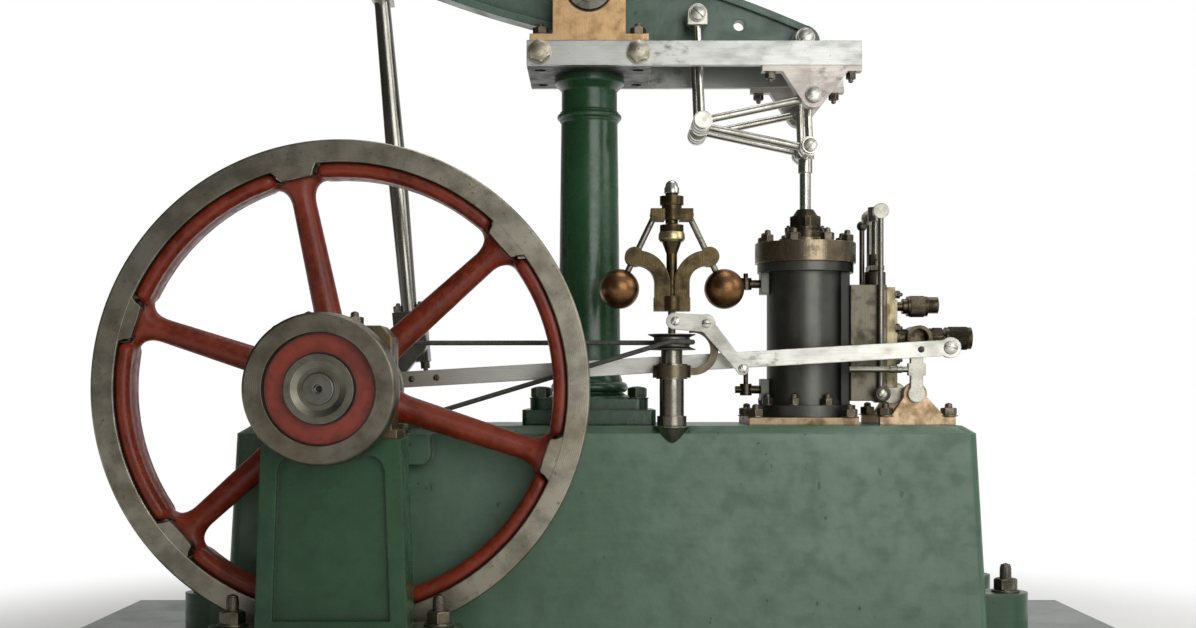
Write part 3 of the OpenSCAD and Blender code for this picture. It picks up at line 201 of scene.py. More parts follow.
# The pedestal and the column wear the same paint as the bed; their darker greens are shaded copies of it, as
# painted shade.
shaded_pedestal_enamel = engine_enamel("pedestal_shaded_green_enamel", "#213f27", "#2f5036", "#0f1b12", 0.3, 0.25)
shaded_column_enamel = engine_enamel("column_shaded_green_enamel", "#1c4024", "#2a5234", "#0f2217", 0.26, 0.45)
dress(bed_enamel, "bed_green", "bed")
dress(shaded_pedestal_enamel, "dark_green", "pedestal")
dress(shaded_column_enamel, "dark_green", "column")

# Holding-down studs and nuts
# Steel studs screwed into the castings, with plain hexagon nuts on thin washers.
# They are turned and milled from bar, blued by heat and then browned by years of
# oil, and each nut stopped at its own angle.
BEAM_PLANE, SHAFT_HEIGHT = 30, 224


def at(x, y, z):
    """The frame's point for x from the plate's middle, y from the beam's plane, z from the shaft, in mm."""
    return Vector((x, y + BEAM_PLANE, z + SHAFT_HEIGHT)) / 1000


def size_inputs(tree, sizes):
    """Gives a tree its named inputs and one output, and returns the sockets that carry the inputs."""
    tree.interface.new_socket("Seats", in_out="INPUT", socket_type="NodeSocketGeometry")
    for name, value in sizes.items():
        kind = "NodeSocketInt" if isinstance(value, int) else "NodeSocketFloat"
        tree.interface.new_socket(name, in_out="INPUT", socket_type=kind).default_value = value
    tree.interface.new_socket("Finish", in_out="INPUT", socket_type="NodeSocketMaterial")
    tree.interface.new_socket("Pieces", in_out="OUTPUT", socket_type="NodeSocketGeometry")
    return add(tree, "NodeGroupInput").outputs


def seat_all(tree, given, shape):
    """Sets one shape on every seat, along its facing, each turned by chance, and ends the tree."""
    facing = add(tree, "GeometryNodeInputNamedAttribute", {"Name": "facing"}, data_type="FLOAT_VECTOR")
    aim = add(tree, "FunctionNodeAlignRotationToVector", {"Vector": facing.outputs["Attribute"]})
    # Inputs 2 and 3 are the least and the most of a plain number, and output 1 is that number.
    full_turn = 6.283
    turn = add(tree, "FunctionNodeRandomValue", {2: 0.0, 3: full_turn, "Seed": given["Seed"]},
               data_type="FLOAT")
    spin = add(tree, "FunctionNodeAxisAngleToRotation", {"Axis": (0, 0, 1), "Angle": turn.outputs[1]})
    both = add(tree, "FunctionNodeRotateRotation", {"Rotation": aim, "Rotate By": spin},
               rotation_space="LOCAL")
    spread = add(tree, "GeometryNodeInstanceOnPoints",
                 {"Points": given["Seats"], "Instance": shape, "Rotation": both})
    real = add(tree, "GeometryNodeRealizeInstances", {"Geometry": spread})
    finished = add(tree, "GeometryNodeSetMaterial", {"Geometry": real, "Material": given["Finish"]})
    add(tree, "NodeGroupOutput", {0: finished})


def hexagon_tree():
    """A chamfered hexagon on a washer, flat for a nut or domed for a bolt's head."""
    tree = bpy.data.node_groups.new("hexagons", "GeometryNodeTree")
    given = size_inputs(tree, {"Flats": 0.016, "Height": 0.008, "Crown": 0.0,
                               "Washer Radius": 0.0105, "Washer Height": 0.0012, "Seed": 1})
    bar = add(tree, "GeometryNodeMeshCylinder",
              {"Vertices": 24, "Side Segments": 6, "Fill Segments": 3, "Radius": 1.0,
               "Depth": given["Height"]}, fill_type="TRIANGLE_FAN")
    x, y, z = add(tree, "ShaderNodeSeparateXYZ", {0: add(tree, "GeometryNodeInputPosition")}).outputs
    # Level runs from -1 at the foot to 1 at the top.
    twice = add(tree, MATH, {0: z, 1: 2.0}, operation="MULTIPLY")
    level = add(tree, MATH, {0: twice, 1: given["Height"]}, operation="DIVIDE")
    high = add(tree, MATH, {0: level}, operation="ABSOLUTE")
    # The angle round the bar is folded onto one flat, 30 degrees each side of its middle.
    angle = add(tree, MATH, {0: y, 1: x}, operation="ARCTAN2")
    half_flat = math.radians(30)
    past = add(tree, MATH, {0: angle, 1: half_flat}, operation="SUBTRACT")
    folded = add(tree, MATH, {0: past, 1: half_flat, 2: -half_flat}, operation="WRAP")
    half = add(tree, MATH, {0: given["Flats"], 1: 0.5}, operation="MULTIPLY")
    lean = add(tree, MATH, {0: folded}, operation="COSINE")
    corner = add(tree, MATH, {0: half, 1: lean}, operation="DIVIDE")
    # The corners are cut back to a cone over the last third at both ends. Before it, 1.16 times
    # the half width is past every corner.
    near_end = add(tree, MATH, {0: high, 1: 0.667}, operation="SUBTRACT")
    near_end = add(tree, MATH, {0: near_end, 1: 0.0}, operation="MAXIMUM")
    bevel = add(tree, MATH, {0: near_end, 1: 0.6}, operation="MULTIPLY")
    cone = add(tree, MATH, {0: 1.16, 1: bevel}, operation="SUBTRACT")
    limit = add(tree, MATH, {0: half, 1: cone}, operation="MULTIPLY")
    reach = add(tree, MATH, {0: corner, 1: limit}, operation="MINIMUM")
    # The fan's inner rings keep their share of the radius, so that a crown can rise over them.
    flat = add(tree, "ShaderNodeCombineXYZ", {"X": x, "Y": y})
    share = add(tree, VECTOR_MATH, {0: flat}, operation="LENGTH").outputs["Value"]
    radius = add(tree, MATH, {0: reach, 1: share}, operation="MULTIPLY")
    squared = add(tree, MATH, {0: share, 1: share}, operation="MULTIPLY")
    fall = add(tree, MATH, {0: 1.0, 1: squared}, operation="SUBTRACT")
    dome = add(tree, MATH, {0: given["Crown"], 1: fall}, operation="MULTIPLY")
    on_top = add(tree, MATH, {0: level, 1: 0.99}, operation="GREATER_THAN")
    crown = add(tree, MATH, {0: dome, 1: on_top}, operation="MULTIPLY")
    # The rings of points are drawn towards both ends, where the cones are.
    sign = add(tree, MATH, {0: level}, operation="SIGN")
    root = add(tree, MATH, {0: high, 1: 0.5}, operation="POWER")
    side = add(tree, MATH, {0: sign, 1: root}, operation="MULTIPLY")
    side = add(tree, MATH, {0: side, 1: 1.0}, operation="ADD")
    half_height = add(tree, MATH, {0: given["Height"], 1: 0.5}, operation="MULTIPLY")
    tall = add(tree, MATH, {0: side, 1: half_height}, operation="MULTIPLY")
    tall = add(tree, MATH, {0: tall, 1: crown}, operation="ADD")
    tall = add(tree, MATH, {0: tall, 1: given["Washer Height"]}, operation="ADD")
    cosine = add(tree, MATH, {0: angle}, operation="COSINE")
    sine = add(tree, MATH, {0: angle}, operation="SINE")
    spot = add(tree, "ShaderNodeCombineXYZ",
               {"X": add(tree, MATH, {0: radius, 1: cosine}, operation="MULTIPLY"),
                "Y": add(tree, MATH, {0: radius, 1: sine}, operation="MULTIPLY"), "Z": tall})
    shaped = add(tree, "GeometryNodeSetPosition", {"Geometry": bar, "Position": spot})
    disc = add(tree, "GeometryNodeMeshCylinder",
               {"Vertices": 32, "Radius": given["Washer Radius"], "Depth": given["Washer Height"]})
    raised = add(tree, "ShaderNodeCombineXYZ",
                 {"Z": add(tree, MATH, {0: given["Washer Height"], 1: 0.5}, operation="MULTIPLY")})
    washer = add(tree, "GeometryNodeTransform", {"Geometry": disc, "Translation": raised})
    both = add(tree, "GeometryNodeJoinGeometry", {0: shaped})
    feed(tree, both, {0: washer})
    flat_shaded = add(tree, "GeometryNodeSetShadeSmooth", {"Geometry": both, "Shade Smooth": False})
    seat_all(tree, given, flat_shaded)
    return tree


def stud_tree():
    """A threaded stud end with a rounded tip, its thread cut as rings of the right pitch."""
    tree = bpy.data.node_groups.new("threaded_studs", "GeometryNodeTree")
    given = size_inputs(tree, {"Radius": 0.005, "Length": 0.02, "Pitch": 0.0015, "Seed": 1})
    twice = add(tree, MATH, {0: given["Length"], 1: 2.0}, operation="MULTIPLY")
    rings = add(tree, MATH, {0: twice, 1: given["Pitch"]}, operation="DIVIDE")
    rings = add(tree, MATH, {0: rings}, operation="ROUND")
    bar = add(tree, "GeometryNodeMeshCylinder",
              {"Vertices": 20, "Fill Segments": 2, "Radius": given["Radius"], "Depth": given["Length"],
               "Side Segments": rings}, fill_type="TRIANGLE_FAN")
    x, y, z = add(tree, "ShaderNodeSeparateXYZ", {0: add(tree, "GeometryNodeInputPosition")}).outputs
    half_length = add(tree, MATH, {0: given["Length"], 1: 0.5}, operation="MULTIPLY")
    rise = add(tree, MATH, {0: z, 1: half_length}, operation="ADD")
    # Every other ring is drawn in by 9 percent, as the thread's root.
    step = add(tree, MATH, {0: rise, 1: rings}, operation="MULTIPLY")
    step = add(tree, MATH, {0: step, 1: given["Length"]}, operation="DIVIDE")
    step = add(tree, MATH, {0: step}, operation="ROUND")
    odd = add(tree, MATH, {0: step, 1: 2.0}, operation="MODULO")
    groove = add(tree, MATH, {0: odd, 1: 0.09}, operation="MULTIPLY")
    # The last turns taper to the tip, and the end face stands up as a low cone.
    share = add(tree, MATH, {0: rise, 1: given["Length"]}, operation="DIVIDE")
    taper = add(tree, MATH, {0: share, 1: 14.0}, operation="POWER")
    tip = add(tree, MATH, {0: taper, 1: 0.22}, operation="MULTIPLY")
    scale = add(tree, MATH, {0: 1.0, 1: groove}, operation="SUBTRACT")
    scale = add(tree, MATH, {0: scale, 1: tip}, operation="SUBTRACT")
    flat = add(tree, "ShaderNodeCombineXYZ", {"X": x, "Y": y})
    out = add(tree, VECTOR_MATH, {0: flat}, operation="LENGTH").outputs["Value"]
    out = add(tree, MATH, {0: out, 1: given["Radius"]}, operation="DIVIDE")
    inner = add(tree, MATH, {0: 1.0, 1: out}, operation="SUBTRACT")
    on_top = add(tree, MATH, {0: share, 1: 0.999}, operation="GREATER_THAN")
    cone = add(tree, MATH, {0: given["Radius"], 1: 0.25}, operation="MULTIPLY")
    cone = add(tree, MATH, {0: inner, 1: cone}, operation="MULTIPLY")
    cap = add(tree, MATH, {0: on_top, 1: cone}, operation="MULTIPLY")
    spot = add(tree, "ShaderNodeCombineXYZ",
               {"X": add(tree, MATH, {0: x, 1: scale}, operation="MULTIPLY"),
                "Y": add(tree, MATH, {0: y, 1: scale}, operation="MULTIPLY"),
                "Z": add(tree, MATH, {0: rise, 1: cap}, operation="ADD")})
    seat_all(tree, given, add(tree, "GeometryNodeSetPosition", {"Geometry": bar, "Position": spot}))
    return tree


def fasten(name, tree, sizes, seats, finish, body):
    """Grows one mesh of like fasteners: seats are (point, facing) pairs in engine millimetres."""
    mesh = bpy.data.meshes.new(name)
    mesh.from_pydata([at(*point) for point, facing in seats], [], [])
    facing = mesh.attributes.new("facing", "FLOAT_VECTOR", "POINT")
    facing.data.foreach_set("vector", [part for point, way in seats for part in way])
    piece = bpy.data.objects.new(name, mesh)
    bpy.context.collection.objects.link(piece)
    grow = piece.modifiers.new("grow", "NODES")
    grow.node_group = tree
    values = dict(sizes, Finish=finish)
    for item in tree.interface.items_tree:
        if item.item_type == "SOCKET" and item.in_out == "INPUT" and item.name in values:
            grow[item.identifier] = values[item.name]
    settled = piece.evaluated_get(bpy.context.evaluated_depsgraph_get())
    grown = bpy.data.meshes.new_from_object(settled)
    piece.modifiers.remove(grow)
    piece.data = grown
    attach(piece, body)


def handled_steel(name, colour, dark, roughness):
    """Bright steel that hands and oil have darkened: dull patches, brown freckles, bright edges."""
    finish, tree, shader, place = new_finish(name, roughness, 1.0)
    clouds = patches(tree, place, 0.014, 0.35, 0.7)
    freckles = patches(tree, place, 0.003, 0.6, 0.7)
    fine = patches(tree, place, 0.0011, 0.3, 0.7)
    soft = add(tree, "ShaderNodeBevel", {"Radius": 0.0008}, samples=4)
    edge = ridges(tree, soft)
    colour = tint(tree, colour, dark, 0.8, clouds)
    colour = tint(tree, colour, "#5a3f26", 0.7, freckles)
    colour = tint(tree, colour, "#d8d6cc", 0.55, edge)
    surface(tree, shader, colour, fine, 0.00002, soft, (clouds, roughness, roughness + 0.18))
    return finish


UP, DOWN, FRONT, BACK, RIGHT = (0, 0, 1), (0, 0, -1), (0, -1, 0), (0, 1, 0), (1, 0, 0)
BED_LUG_TOP, PEDESTAL_FOOT_TOP, COLUMN_FOOT_TOP = -164, -174, -8
PEDESTAL_Y, COLUMN_X = -173.5, -7.3
hexagons = hexagon_tree()
studs = stud_tree()
browned_nut = handled_steel("browned_steel_nut", "#6f6857", "#3b352c", 0.38)
browned_stud = handled_steel("browned_steel_stud", "#5c4a3a", "#33291f", 0.42)
holding_seats = [((x, y, BED_LUG_TOP), UP) for x in (-316, 330) for y in (-60, 60)]
holding_seats += [((x, PEDESTAL_Y, PEDESTAL_FOOT_TOP), UP) for x in (-269, -117)]
fasten("holding_down_nuts", hexagons,
       {"Flats": 0.0165, "Height": 0.0095, "Washer Radius": 0.0112, "Washer Height": 0.0014, "Seed": 3},
       holding_seats, browned_nut, "frame")
fasten("holding_down_studs", studs, {"Radius": 0.0049, "Length": 0.022, "Pitch": 0.0016},
       holding_seats, browned_stud, "frame")
plinth_seats = [((COLUMN_X + x, y, COLUMN_FOOT_TOP), UP) for x in (-40, 40) for y in (-40, 40)]
fasten("plinth_bolts", hexagons,
       {"Flats": 0.0135, "Height": 0.008, "Crown": 0.0012, "Washer Radius": 0.009, "Washer Height": 0.001,
        "Seed": 5}, plinth_seats, handled_steel("painted_over_bolt", "#57604f", "#2c3a2c", 0.45), "frame")

# Bearings and other gunmetal
# Gunmetal castings, milled and draw-filed to a tan satin and never lacquered, so
# they have dulled in clouds and darkened where oil creeps round the shafts.


def gunmetal(name, colour, tarnish, roughness, amount=0.7, worn=0.4):
    """Dull bronze: a satin metal with brown clouds, filing lines and paler rubbed edges."""
    finish, tree, shader, place = new_finish(name, roughness, 0.9)
    clouds = patches(tree, place, 0.012, 0.42, 0.7)
    spots = patches(tree, place, 0.0028, 0.62, 0.7)
    # Filing lines are 0.3 mm apart; drawn at 0.9 mm so that they show.
    lines = patches(tree, place, 0.0009, 0.35, 0.65, (1, 1, 22))
    soft = add(tree, "ShaderNodeBevel", {"Radius": 0.0012}, samples=4)
    edge = ridges(tree, soft)
    colour = tint(tree, colour, tarnish, amount, clouds)
    colour = tint(tree, colour, tarnish, 0.25, lines)
    colour = tint(tree, colour, "#3a2a18", 0.3, spots)
    colour = tint(tree, colour, "#ecd2a8", worn, edge)
    surface(tree, shader, colour, lines, 0.00002, soft, (clouds, roughness - 0.05, roughness + 0.14))
    return finish


tan_gunmetal = gunmetal("draw_filed_gunmetal", "#c6a479", "#a2825a", 0.48, 0.6)
pale_gunmetal = gunmetal("scoured_gunmetal", "#c3a88a", "#967e5b", 0.5)
dusty_gunmetal = gunmetal("dusty_foot_gunmetal", "#a08b6f", "#776143", 0.5)
oily_gunmetal = gunmetal("oily_bearing_gunmetal", "#6f6148", "#453b29", 0.4)
dark_bronze = gunmetal("oil_darkened_bronze", "#4f432c", "#211b10", 0.3, 0.8, 0.14)
smoked_brass = gunmetal("smoked_brass", "#4f4738", "#241e16", 0.3, 0.8, 0.1)
dress(tan_gunmetal, "gunmetal", "trunnion_bearings")
dress(pale_gunmetal, "gunmetal", "rocker_bearings")
dress(dusty_gunmetal, "gunmetal", "cylinder_base")
dress(oily_gunmetal, "gunmetal", "pedestal_bearing", "main_bearing")
dress(dark_bronze, "old_bronze", "governor_frame", "governor_collar")
dress(smoked_brass, "old_bronze", "piston_gland", "drain_cocks", "steam_inlet", "chest_oiler")

SHAFT_X, PISTON_X, ROCKER_X = -196, 175.9, 260
PEDESTAL_BEARING, MAIN_BEARING = (SHAFT_X, PEDESTAL_Y, 46), (SHAFT_X, -86, 22)
TRUNNION_FOOT_TOP, ROCKER_FOOT_TOP, CYLINDER_FOOT_TOP = 292, -22.5, -23.5
small_nut = {"Flats": 0.0115, "Height": 0.0062, "Washer Radius": 0.0076, "Washer Height": 0.0009}
small_stud = {"Radius": 0.0033, "Length": 0.0105, "Pitch": 0.0012}
cap_seats = [((x + apart * side, y, z), UP)
             for (x, y, z), apart in ((PEDESTAL_BEARING, 17), (MAIN_BEARING, 15)) for side in (-1, 1)]
trunnion_seats = [((COLUMN_X + x, y, TRUNNION_FOOT_TOP), UP) for x in (-40.5, 40.5) for y in (-31, 31)]
rocker_seats = [((ROCKER_X + x, y, ROCKER_FOOT_TOP), UP) for x in (-24, 28) for y in (-42, 42)]
base_seats = [((PISTON_X + x, y, CYLINDER_FOOT_TOP), UP)
              for x, y in ((-46, -39), (-46, 39), (31, -41), (31, 41))]
for name, seats in (("bearing_cap", cap_seats), ("trunnion_foot", trunnion_seats),
                    ("rocker_foot", rocker_seats), ("cylinder_foot", base_seats)):
    fasten(name + "_nuts", hexagons, dict(small_nut, Seed=len(name)), seats, browned_nut, "frame")
    fasten(name + "_studs", studs, dict(small_stud, Seed=len(name)), seats, browned_stud, "frame")


def settle(work, name, finish, body, crease=0.6):
    """Turns a finished bmesh into a piece: normals outward, soft faces, creased edges, its ride."""
    bmesh.ops.recalc_face_normals(work, faces=work.faces)
    for face in work.faces:
        face.smooth = True
    for edge in work.edges:
        edge.smooth = len(edge.link_faces) == 2 and edge.calc_face_angle() < crease
    mesh = bpy.data.meshes.new(name)
    work.to_mesh(mesh)
    work.free()
    mesh.materials.append(finish)
    piece = bpy.data.objects.new(name, mesh)
    bpy.context.collection.objects.link(piece)
    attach(piece, body)
    return piece


def turned(name, profile, foot, along, finish, body, sides=48):
    """A lathe-turned piece: (radius, distance) pairs in millimetres along its axis from its foot."""
    work = bmesh.new()
    lean = Vector(along).normalized().to_track_quat("Z", "Y").to_matrix()
    rings = []
    for radius, far in profile:
        turns = [math.tau * k / sides for k in range(sides if radius else 1)]
        points = [Vector((radius * math.cos(turn), radius * math.sin(turn), far)) for turn in turns]
        rings.append([work.verts.new(at(*foot) + lean @ point / 1000) for point in points])
    pairs = list(zip(rings, rings[1:]))
    if len(rings[0]) > 1 and len(rings[-1]) > 1:
        pairs.append((rings[-1], rings[0]))
    for low, high in pairs:
        for k in range(sides):
            corners = [low[k % len(low)], low[(k + 1) % len(low)],
                       high[(k + 1) % len(high)], high[k % len(high)]]
            work.faces.new(list(dict.fromkeys(corners)))
    return settle(work, name, finish, body)


for name, foot in (("pedestal_oil_cup", PEDESTAL_BEARING), ("main_bearing_oil_cup", MAIN_BEARING)):
    turned(name, [(0, -0.5), (3, -0.5), (3, 1), (5, 1.6), (5.4, 4.6), (4.6, 5.4), (1.8, 5.9), (1.6, 6.6),
                  (0, 6.9)], foot, UP, dark_bronze, "frame", 32)

# Crankshaft and overhung pulley
# A bright mild steel shaft with a pulley turned from a grey iron casting. The
# sunk ring of the pulley is painted to match the wheel, and its boss and rim are
# left bright from the lathe, with the fine rings that the tool cut.
# In metres, as a shader reads them.
BOSS_R, PAINT_R, CENTRE_HOLE_R = 0.0252, 0.0398, 0.0024
PULLEY_FACE, SHAFT_FACE = -0.1885, -0.19


def off_axis(tree, place):
    """A point's distances from the crankshaft's axis along X and along Z, in metres."""
    axis = (-SHAFT_X / 1000, 0, -SHAFT_HEIGHT / 1000)
    moved = add(tree, "ShaderNodeMapping", {"Vector": place, "Location": axis})
    parts = add(tree, "ShaderNodeSeparateXYZ", {0: moved}).outputs
    return parts["X"], parts["Z"]


def shaft_radius(tree, place):
    """A point's distance from the crankshaft's axis, in metres."""
    across, up = off_axis(tree, place)
    flat = add(tree, "ShaderNodeCombineXYZ", {"X": across, "Y": up})
    return add(tree, VECTOR_MATH, {0: flat}, operation="LENGTH").outputs["Value"]


def tool_rings(tree, radius):
    """The fine rings that a lathe tool leaves, 0.25 mm apart; drawn at 1.4 mm so that they show."""
    phase = add(tree, MATH, {0: radius, 1: math.tau / 0.0014}, operation="MULTIPLY")
    wave = add(tree, MATH, {0: phase}, operation="SINE")
    return add(tree, MAP_RANGE, {"Value": wave, "From Min": -1.0, "From Max": 1.0})


def bare_iron(tree, place, rings, colour, dark, brown):
    """The colour of turned grey iron that has dulled: tool rings, clouds and brown freckles."""
    clouds = patches(tree, place, 0.02, 0.35, 0.7)
    freckles = patches(tree, place, 0.0035, 0.6, 0.72)
    wide = patches(tree, place, 0.045, 0.45, 0.75)
    colour = tint(tree, colour, dark, 0.75, clouds)
    colour = tint(tree, colour, brown, 0.35, wide)
    colour = tint(tree, colour, dark, 0.3, rings)
    return tint(tree, colour, "#4a3a28", 0.5, freckles)


def between(tree, value, low, high):
    """1 where a value lies between two limits."""
    over = add(tree, MATH, {0: value, 1: low}, operation="GREATER_THAN")
    under = add(tree, MATH, {0: value, 1: high}, operation="LESS_THAN")
    return add(tree, MATH, {0: over, 1: under}, operation="MULTIPLY")


def pulley_iron():
    """Turned grey iron with a painted sunk ring, painted shade lines in its corners and a bright boss."""
    finish, tree, shader, place = new_finish("turned_iron_pulley", 0.4, 1.0)
    radius = shaft_radius(tree, place)
    rings = tool_rings(tree, radius)
    depth = add(tree, "ShaderNodeSeparateXYZ", {0: place}).outputs["Y"]
    front = add(tree, MATH, {0: depth, 1: PULLEY_FACE}, operation="LESS_THAN")
    iron = bare_iron(tree, place, rings, "#7c776a", "#4f4a3e", "#6a5a40")
    bright = bare_iron(tree, place, rings, "#7a786c", "#514f46", "#6a6351")
    red = tint(tree, "#8a3423", "#5c2115", 0.7, patches(tree, place, 0.012, 0.35, 0.7))
    boss = add(tree, MATH, {0: radius, 1: BOSS_R}, operation="LESS_THAN")
    ring = add(tree, MATH, {0: between(tree, radius, BOSS_R, PAINT_R), 1: front}, operation="MULTIPLY")
    colour = add(tree, "ShaderNodeMix", {0: boss, 6: iron, 7: bright}, data_type="RGBA").outputs[2]
    colour = add(tree, "ShaderNodeMix", {0: ring, 6: colour, 7: red}, data_type="RGBA").outputs[2]
    # Painted shade: near-black lines at the boss's edge and the paint's outer edge, in the sunk ring's
    # corners.
    for low, high in ((BOSS_R - 0.0005, BOSS_R + 0.001), (PAINT_R - 0.001, PAINT_R + 0.0004)):
        colour = tint(tree, colour, "#221a14", 0.8, between(tree, radius, low, high))
    soft = add(tree, "ShaderNodeBevel", {"Radius": 0.0012}, samples=4)
    unpainted = add(tree, MATH, {0: 1.0, 1: ring}, operation="SUBTRACT")
    surface(tree, shader, colour, rings, 0.000025, soft, metallic=unpainted)
    return finish


def centred_steel():
    """Turned shaft: tool rings on its end round a small centre hole, coloured near black as painted shade.
    """
    finish, tree, shader, place = new_finish("centred_shaft_steel", 0.32, 1.0)
    radius = shaft_radius(tree, place)
    rings = tool_rings(tree, radius)
    depth = add(tree, "ShaderNodeSeparateXYZ", {0: place}).outputs["Y"]
    steel = bare_iron(tree, place, rings, "#85857b", "#55544c", "#6a6351")
    # Painted shade: the centre hole is coloured near black and not metallic.
    inside = add(tree, MATH, {0: radius, 1: CENTRE_HOLE_R}, operation="LESS_THAN")
    in_front = add(tree, MATH, {0: depth, 1: SHAFT_FACE}, operation="LESS_THAN")
    centre = add(tree, MATH, {0: inside, 1: in_front}, operation="MULTIPLY")
    soft = add(tree, "ShaderNodeBevel", {"Radius": 0.0009}, samples=4)
    bare = add(tree, MATH, {0: 1.0, 1: centre}, operation="SUBTRACT")
    colour = tint(tree, steel, "#0d0c0a", 0.95, centre)
    surface(tree, shader, colour, rings, 0.00002, soft, metallic=bare)
    return finish


def bright_steel(name, colour, dark, roughness, stretch=(1, 1, 1)):
    """Polished bar: a clean pale metal with long scratches, thumbed patches and a few dark pits."""
    finish, tree, shader, place = new_finish(name, roughness, 1.0)
    clouds = patches(tree, place, 0.025, 0.4, 0.72)
    # Emery lines are 0.1 mm apart; drawn at 0.8 mm so that they show.
    lines = patches(tree, place, 0.0008, 0.4, 0.65, stretch)
    pits = patches(tree, place, 0.0024, 0.68, 0.73)
    soft = add(tree, "ShaderNodeBevel", {"Radius": 0.0009}, samples=4)
    edge = ridges(tree, soft)
    colour = tint(tree, colour, dark, 0.55, clouds)
    colour = tint(tree, colour, dark, 0.4, lines)
    colour = tint(tree, colour, "#3f382e", 0.75, pits)
    colour = tint(tree, colour, "#d9d8d2", 0.3, edge)
    surface(tree, shader, colour, lines, 0.000006, soft, (clouds, roughness - 0.04, roughness + 0.12))
    return finish


dress(pulley_iron(), "cast_grey", "front_pulley")
dress(centred_steel(), "polished_steel", "crankshaft")
dress(bright_steel("turned_shaft_steel", "#8d8b80", "#5a584f", 0.3, (1, 8, 1)), "polished_steel",
      "crank_pin", "beam_pins")
dress(handled_steel("sooty_iron", "#6d6b60", "#3f3d36", 0.4), "cast_grey", "eccentric_sheave",
      "drive_pulley", "governor_spindle")

# Flywheel
# A six-spoke casting in grey iron. The rim and the six pads at the spokes' ends
# are faced flat in the lathe and left bare. The round spokes and the ring inside
# the rim keep their cast skin under red-brown enamel, with generous fillets.
RIM_FRONT, RIM_BACK = -137, -100
RIM_MIDDLE, RIM_WIDTH = (RIM_FRONT + RIM_BACK) / 2, RIM_BACK - RIM_FRONT
WHEEL_R, FACE_R = 190, 172.5
SPOKE_GAP, FIRST_SPOKE = 60, 42
SPOKE_TURNS = [math.radians(FIRST_SPOKE + SPOKE_GAP * k) for k in range(6)]
SPOKE_START, SPOKE_END = 34, 163.0
SPOKE_R, SPOKE_TAPER = 11, 2
# How far each fillet runs along the spoke, and how much it adds to its width and its thickness.
PAD_FILLET, PAD_WIDER, PAD_THICKER = 17, 15, 2
HUB_FILLET, HUB_WIDER, HUB_THICKER = 18, 5, 4
BEAD_CIRCLE, BEAD_R, BEAD_OFFSET = 167.9, 6.3, 10.4
BEAD_WEB_R, BEAD_WEB_REACH = 6.0, 11
# Each bead starts and ends this many degrees from a spoke's line.
BEAD_START, BEAD_STOP = 5.3, 54.7
# The hub's steps: radius, and distance from the wheel's middle.
HUB_PROFILE = [(40, -0.5), (40, 17), (38.5, 18.5), (20, 18.5)]


def wheel_point(radius, across, depth, turn):
    """A point of the wheel, at a radius along a spoke's line and a distance across it."""
    return at(SHAFT_X + radius * math.cos(turn) - across * math.sin(turn), depth,
              radius * math.sin(turn) + across * math.cos(turn))


def loft(work, rings):
    """Joins rings of points into a closed skin with flat ends."""
    loops = [[work.verts.new(p) for p in ring] for ring in rings]
    count = len(loops[0])
    for low, high in zip(loops, loops[1:]):
        for k in range(count):
            work.faces.new((low[k], low[(k + 1) % count], high[(k + 1) % count], high[k]))
    work.faces.new(loops[0])
    work.faces.new(loops[-1][::-1])


def circle(sides):
    """The cosines and sines of the points round a circle."""
    return [(math.cos(math.tau * k / sides), math.sin(math.tau * k / sides)) for k in range(sides)]


def spoke(work, turn, steps=24):
    """A round spoke that tapers outwards and swells into the hub and into its pad."""
    rings = []
    for step in range(steps + 1):
        far = SPOKE_START + (SPOKE_END - SPOKE_START) * step / steps
        wide = thick = SPOKE_R - SPOKE_TAPER * step / steps
        left = SPOKE_END - far
        if left < PAD_FILLET:
            wide += PAD_WIDER * (1 - math.sqrt(1 - (1 - left / PAD_FILLET) ** 2))
            thick += PAD_THICKER * (1 - left / PAD_FILLET)
        if far < SPOKE_START + HUB_FILLET:
            near = ((SPOKE_START + HUB_FILLET - far) / HUB_FILLET) ** 2
            wide += HUB_WIDER * near
            thick += HUB_THICKER * near
        rings.append([wheel_point(far, wide * c, RIM_MIDDLE + thick * s, turn) for c, s in circle(28)])
    loft(work, rings)


def rim_beads(work, turn, steps=40):
    """The ring inside the rim between two pads: a bead at each face and a web that joins them."""
    start, stop = turn + math.radians(BEAD_START), turn + math.radians(BEAD_STOP)
    for middle, bead, reach in ((RIM_MIDDLE - BEAD_OFFSET, BEAD_R, BEAD_R),
                                (RIM_MIDDLE + BEAD_OFFSET, BEAD_R, BEAD_R),
                                (RIM_MIDDLE, BEAD_WEB_R, BEAD_WEB_REACH)):
        rings = []
        for step in range(steps + 1):
            # The first and last three rings round the bead's end off.
            from_end = min(step, steps - step)
            slim = math.sqrt(1 - (1 - min(from_end, 2) / 2.2) ** 2) if from_end < 3 else 1.0
            angle = start + (stop - start) * step / steps
            rings.append([wheel_point(BEAD_CIRCLE + slim * bead * c, 0, middle + slim * reach * s, angle)
                          for c, s in circle(20)])
        loft(work, rings)


def wheel_web():
    """Spokes, beads, hub and rim's inside as overlapping skins, to be fused like a casting."""
    work = bmesh.new()
    for turn in SPOKE_TURNS:
        spoke(work, turn)
        rim_beads(work, turn)
    for side in (-1, 1):
        loft(work, [[wheel_point(reach, 0, RIM_MIDDLE + side * far, math.tau * k / 72) for k in range(72)]
                    for reach, far in HUB_PROFILE])
    loft(work, [[wheel_point(164.5 + 3.2 * c, 0, RIM_MIDDLE + 10.5 * s, math.tau * step / 180)
                 for c, s in circle(20)] for step in range(181)])
    return work


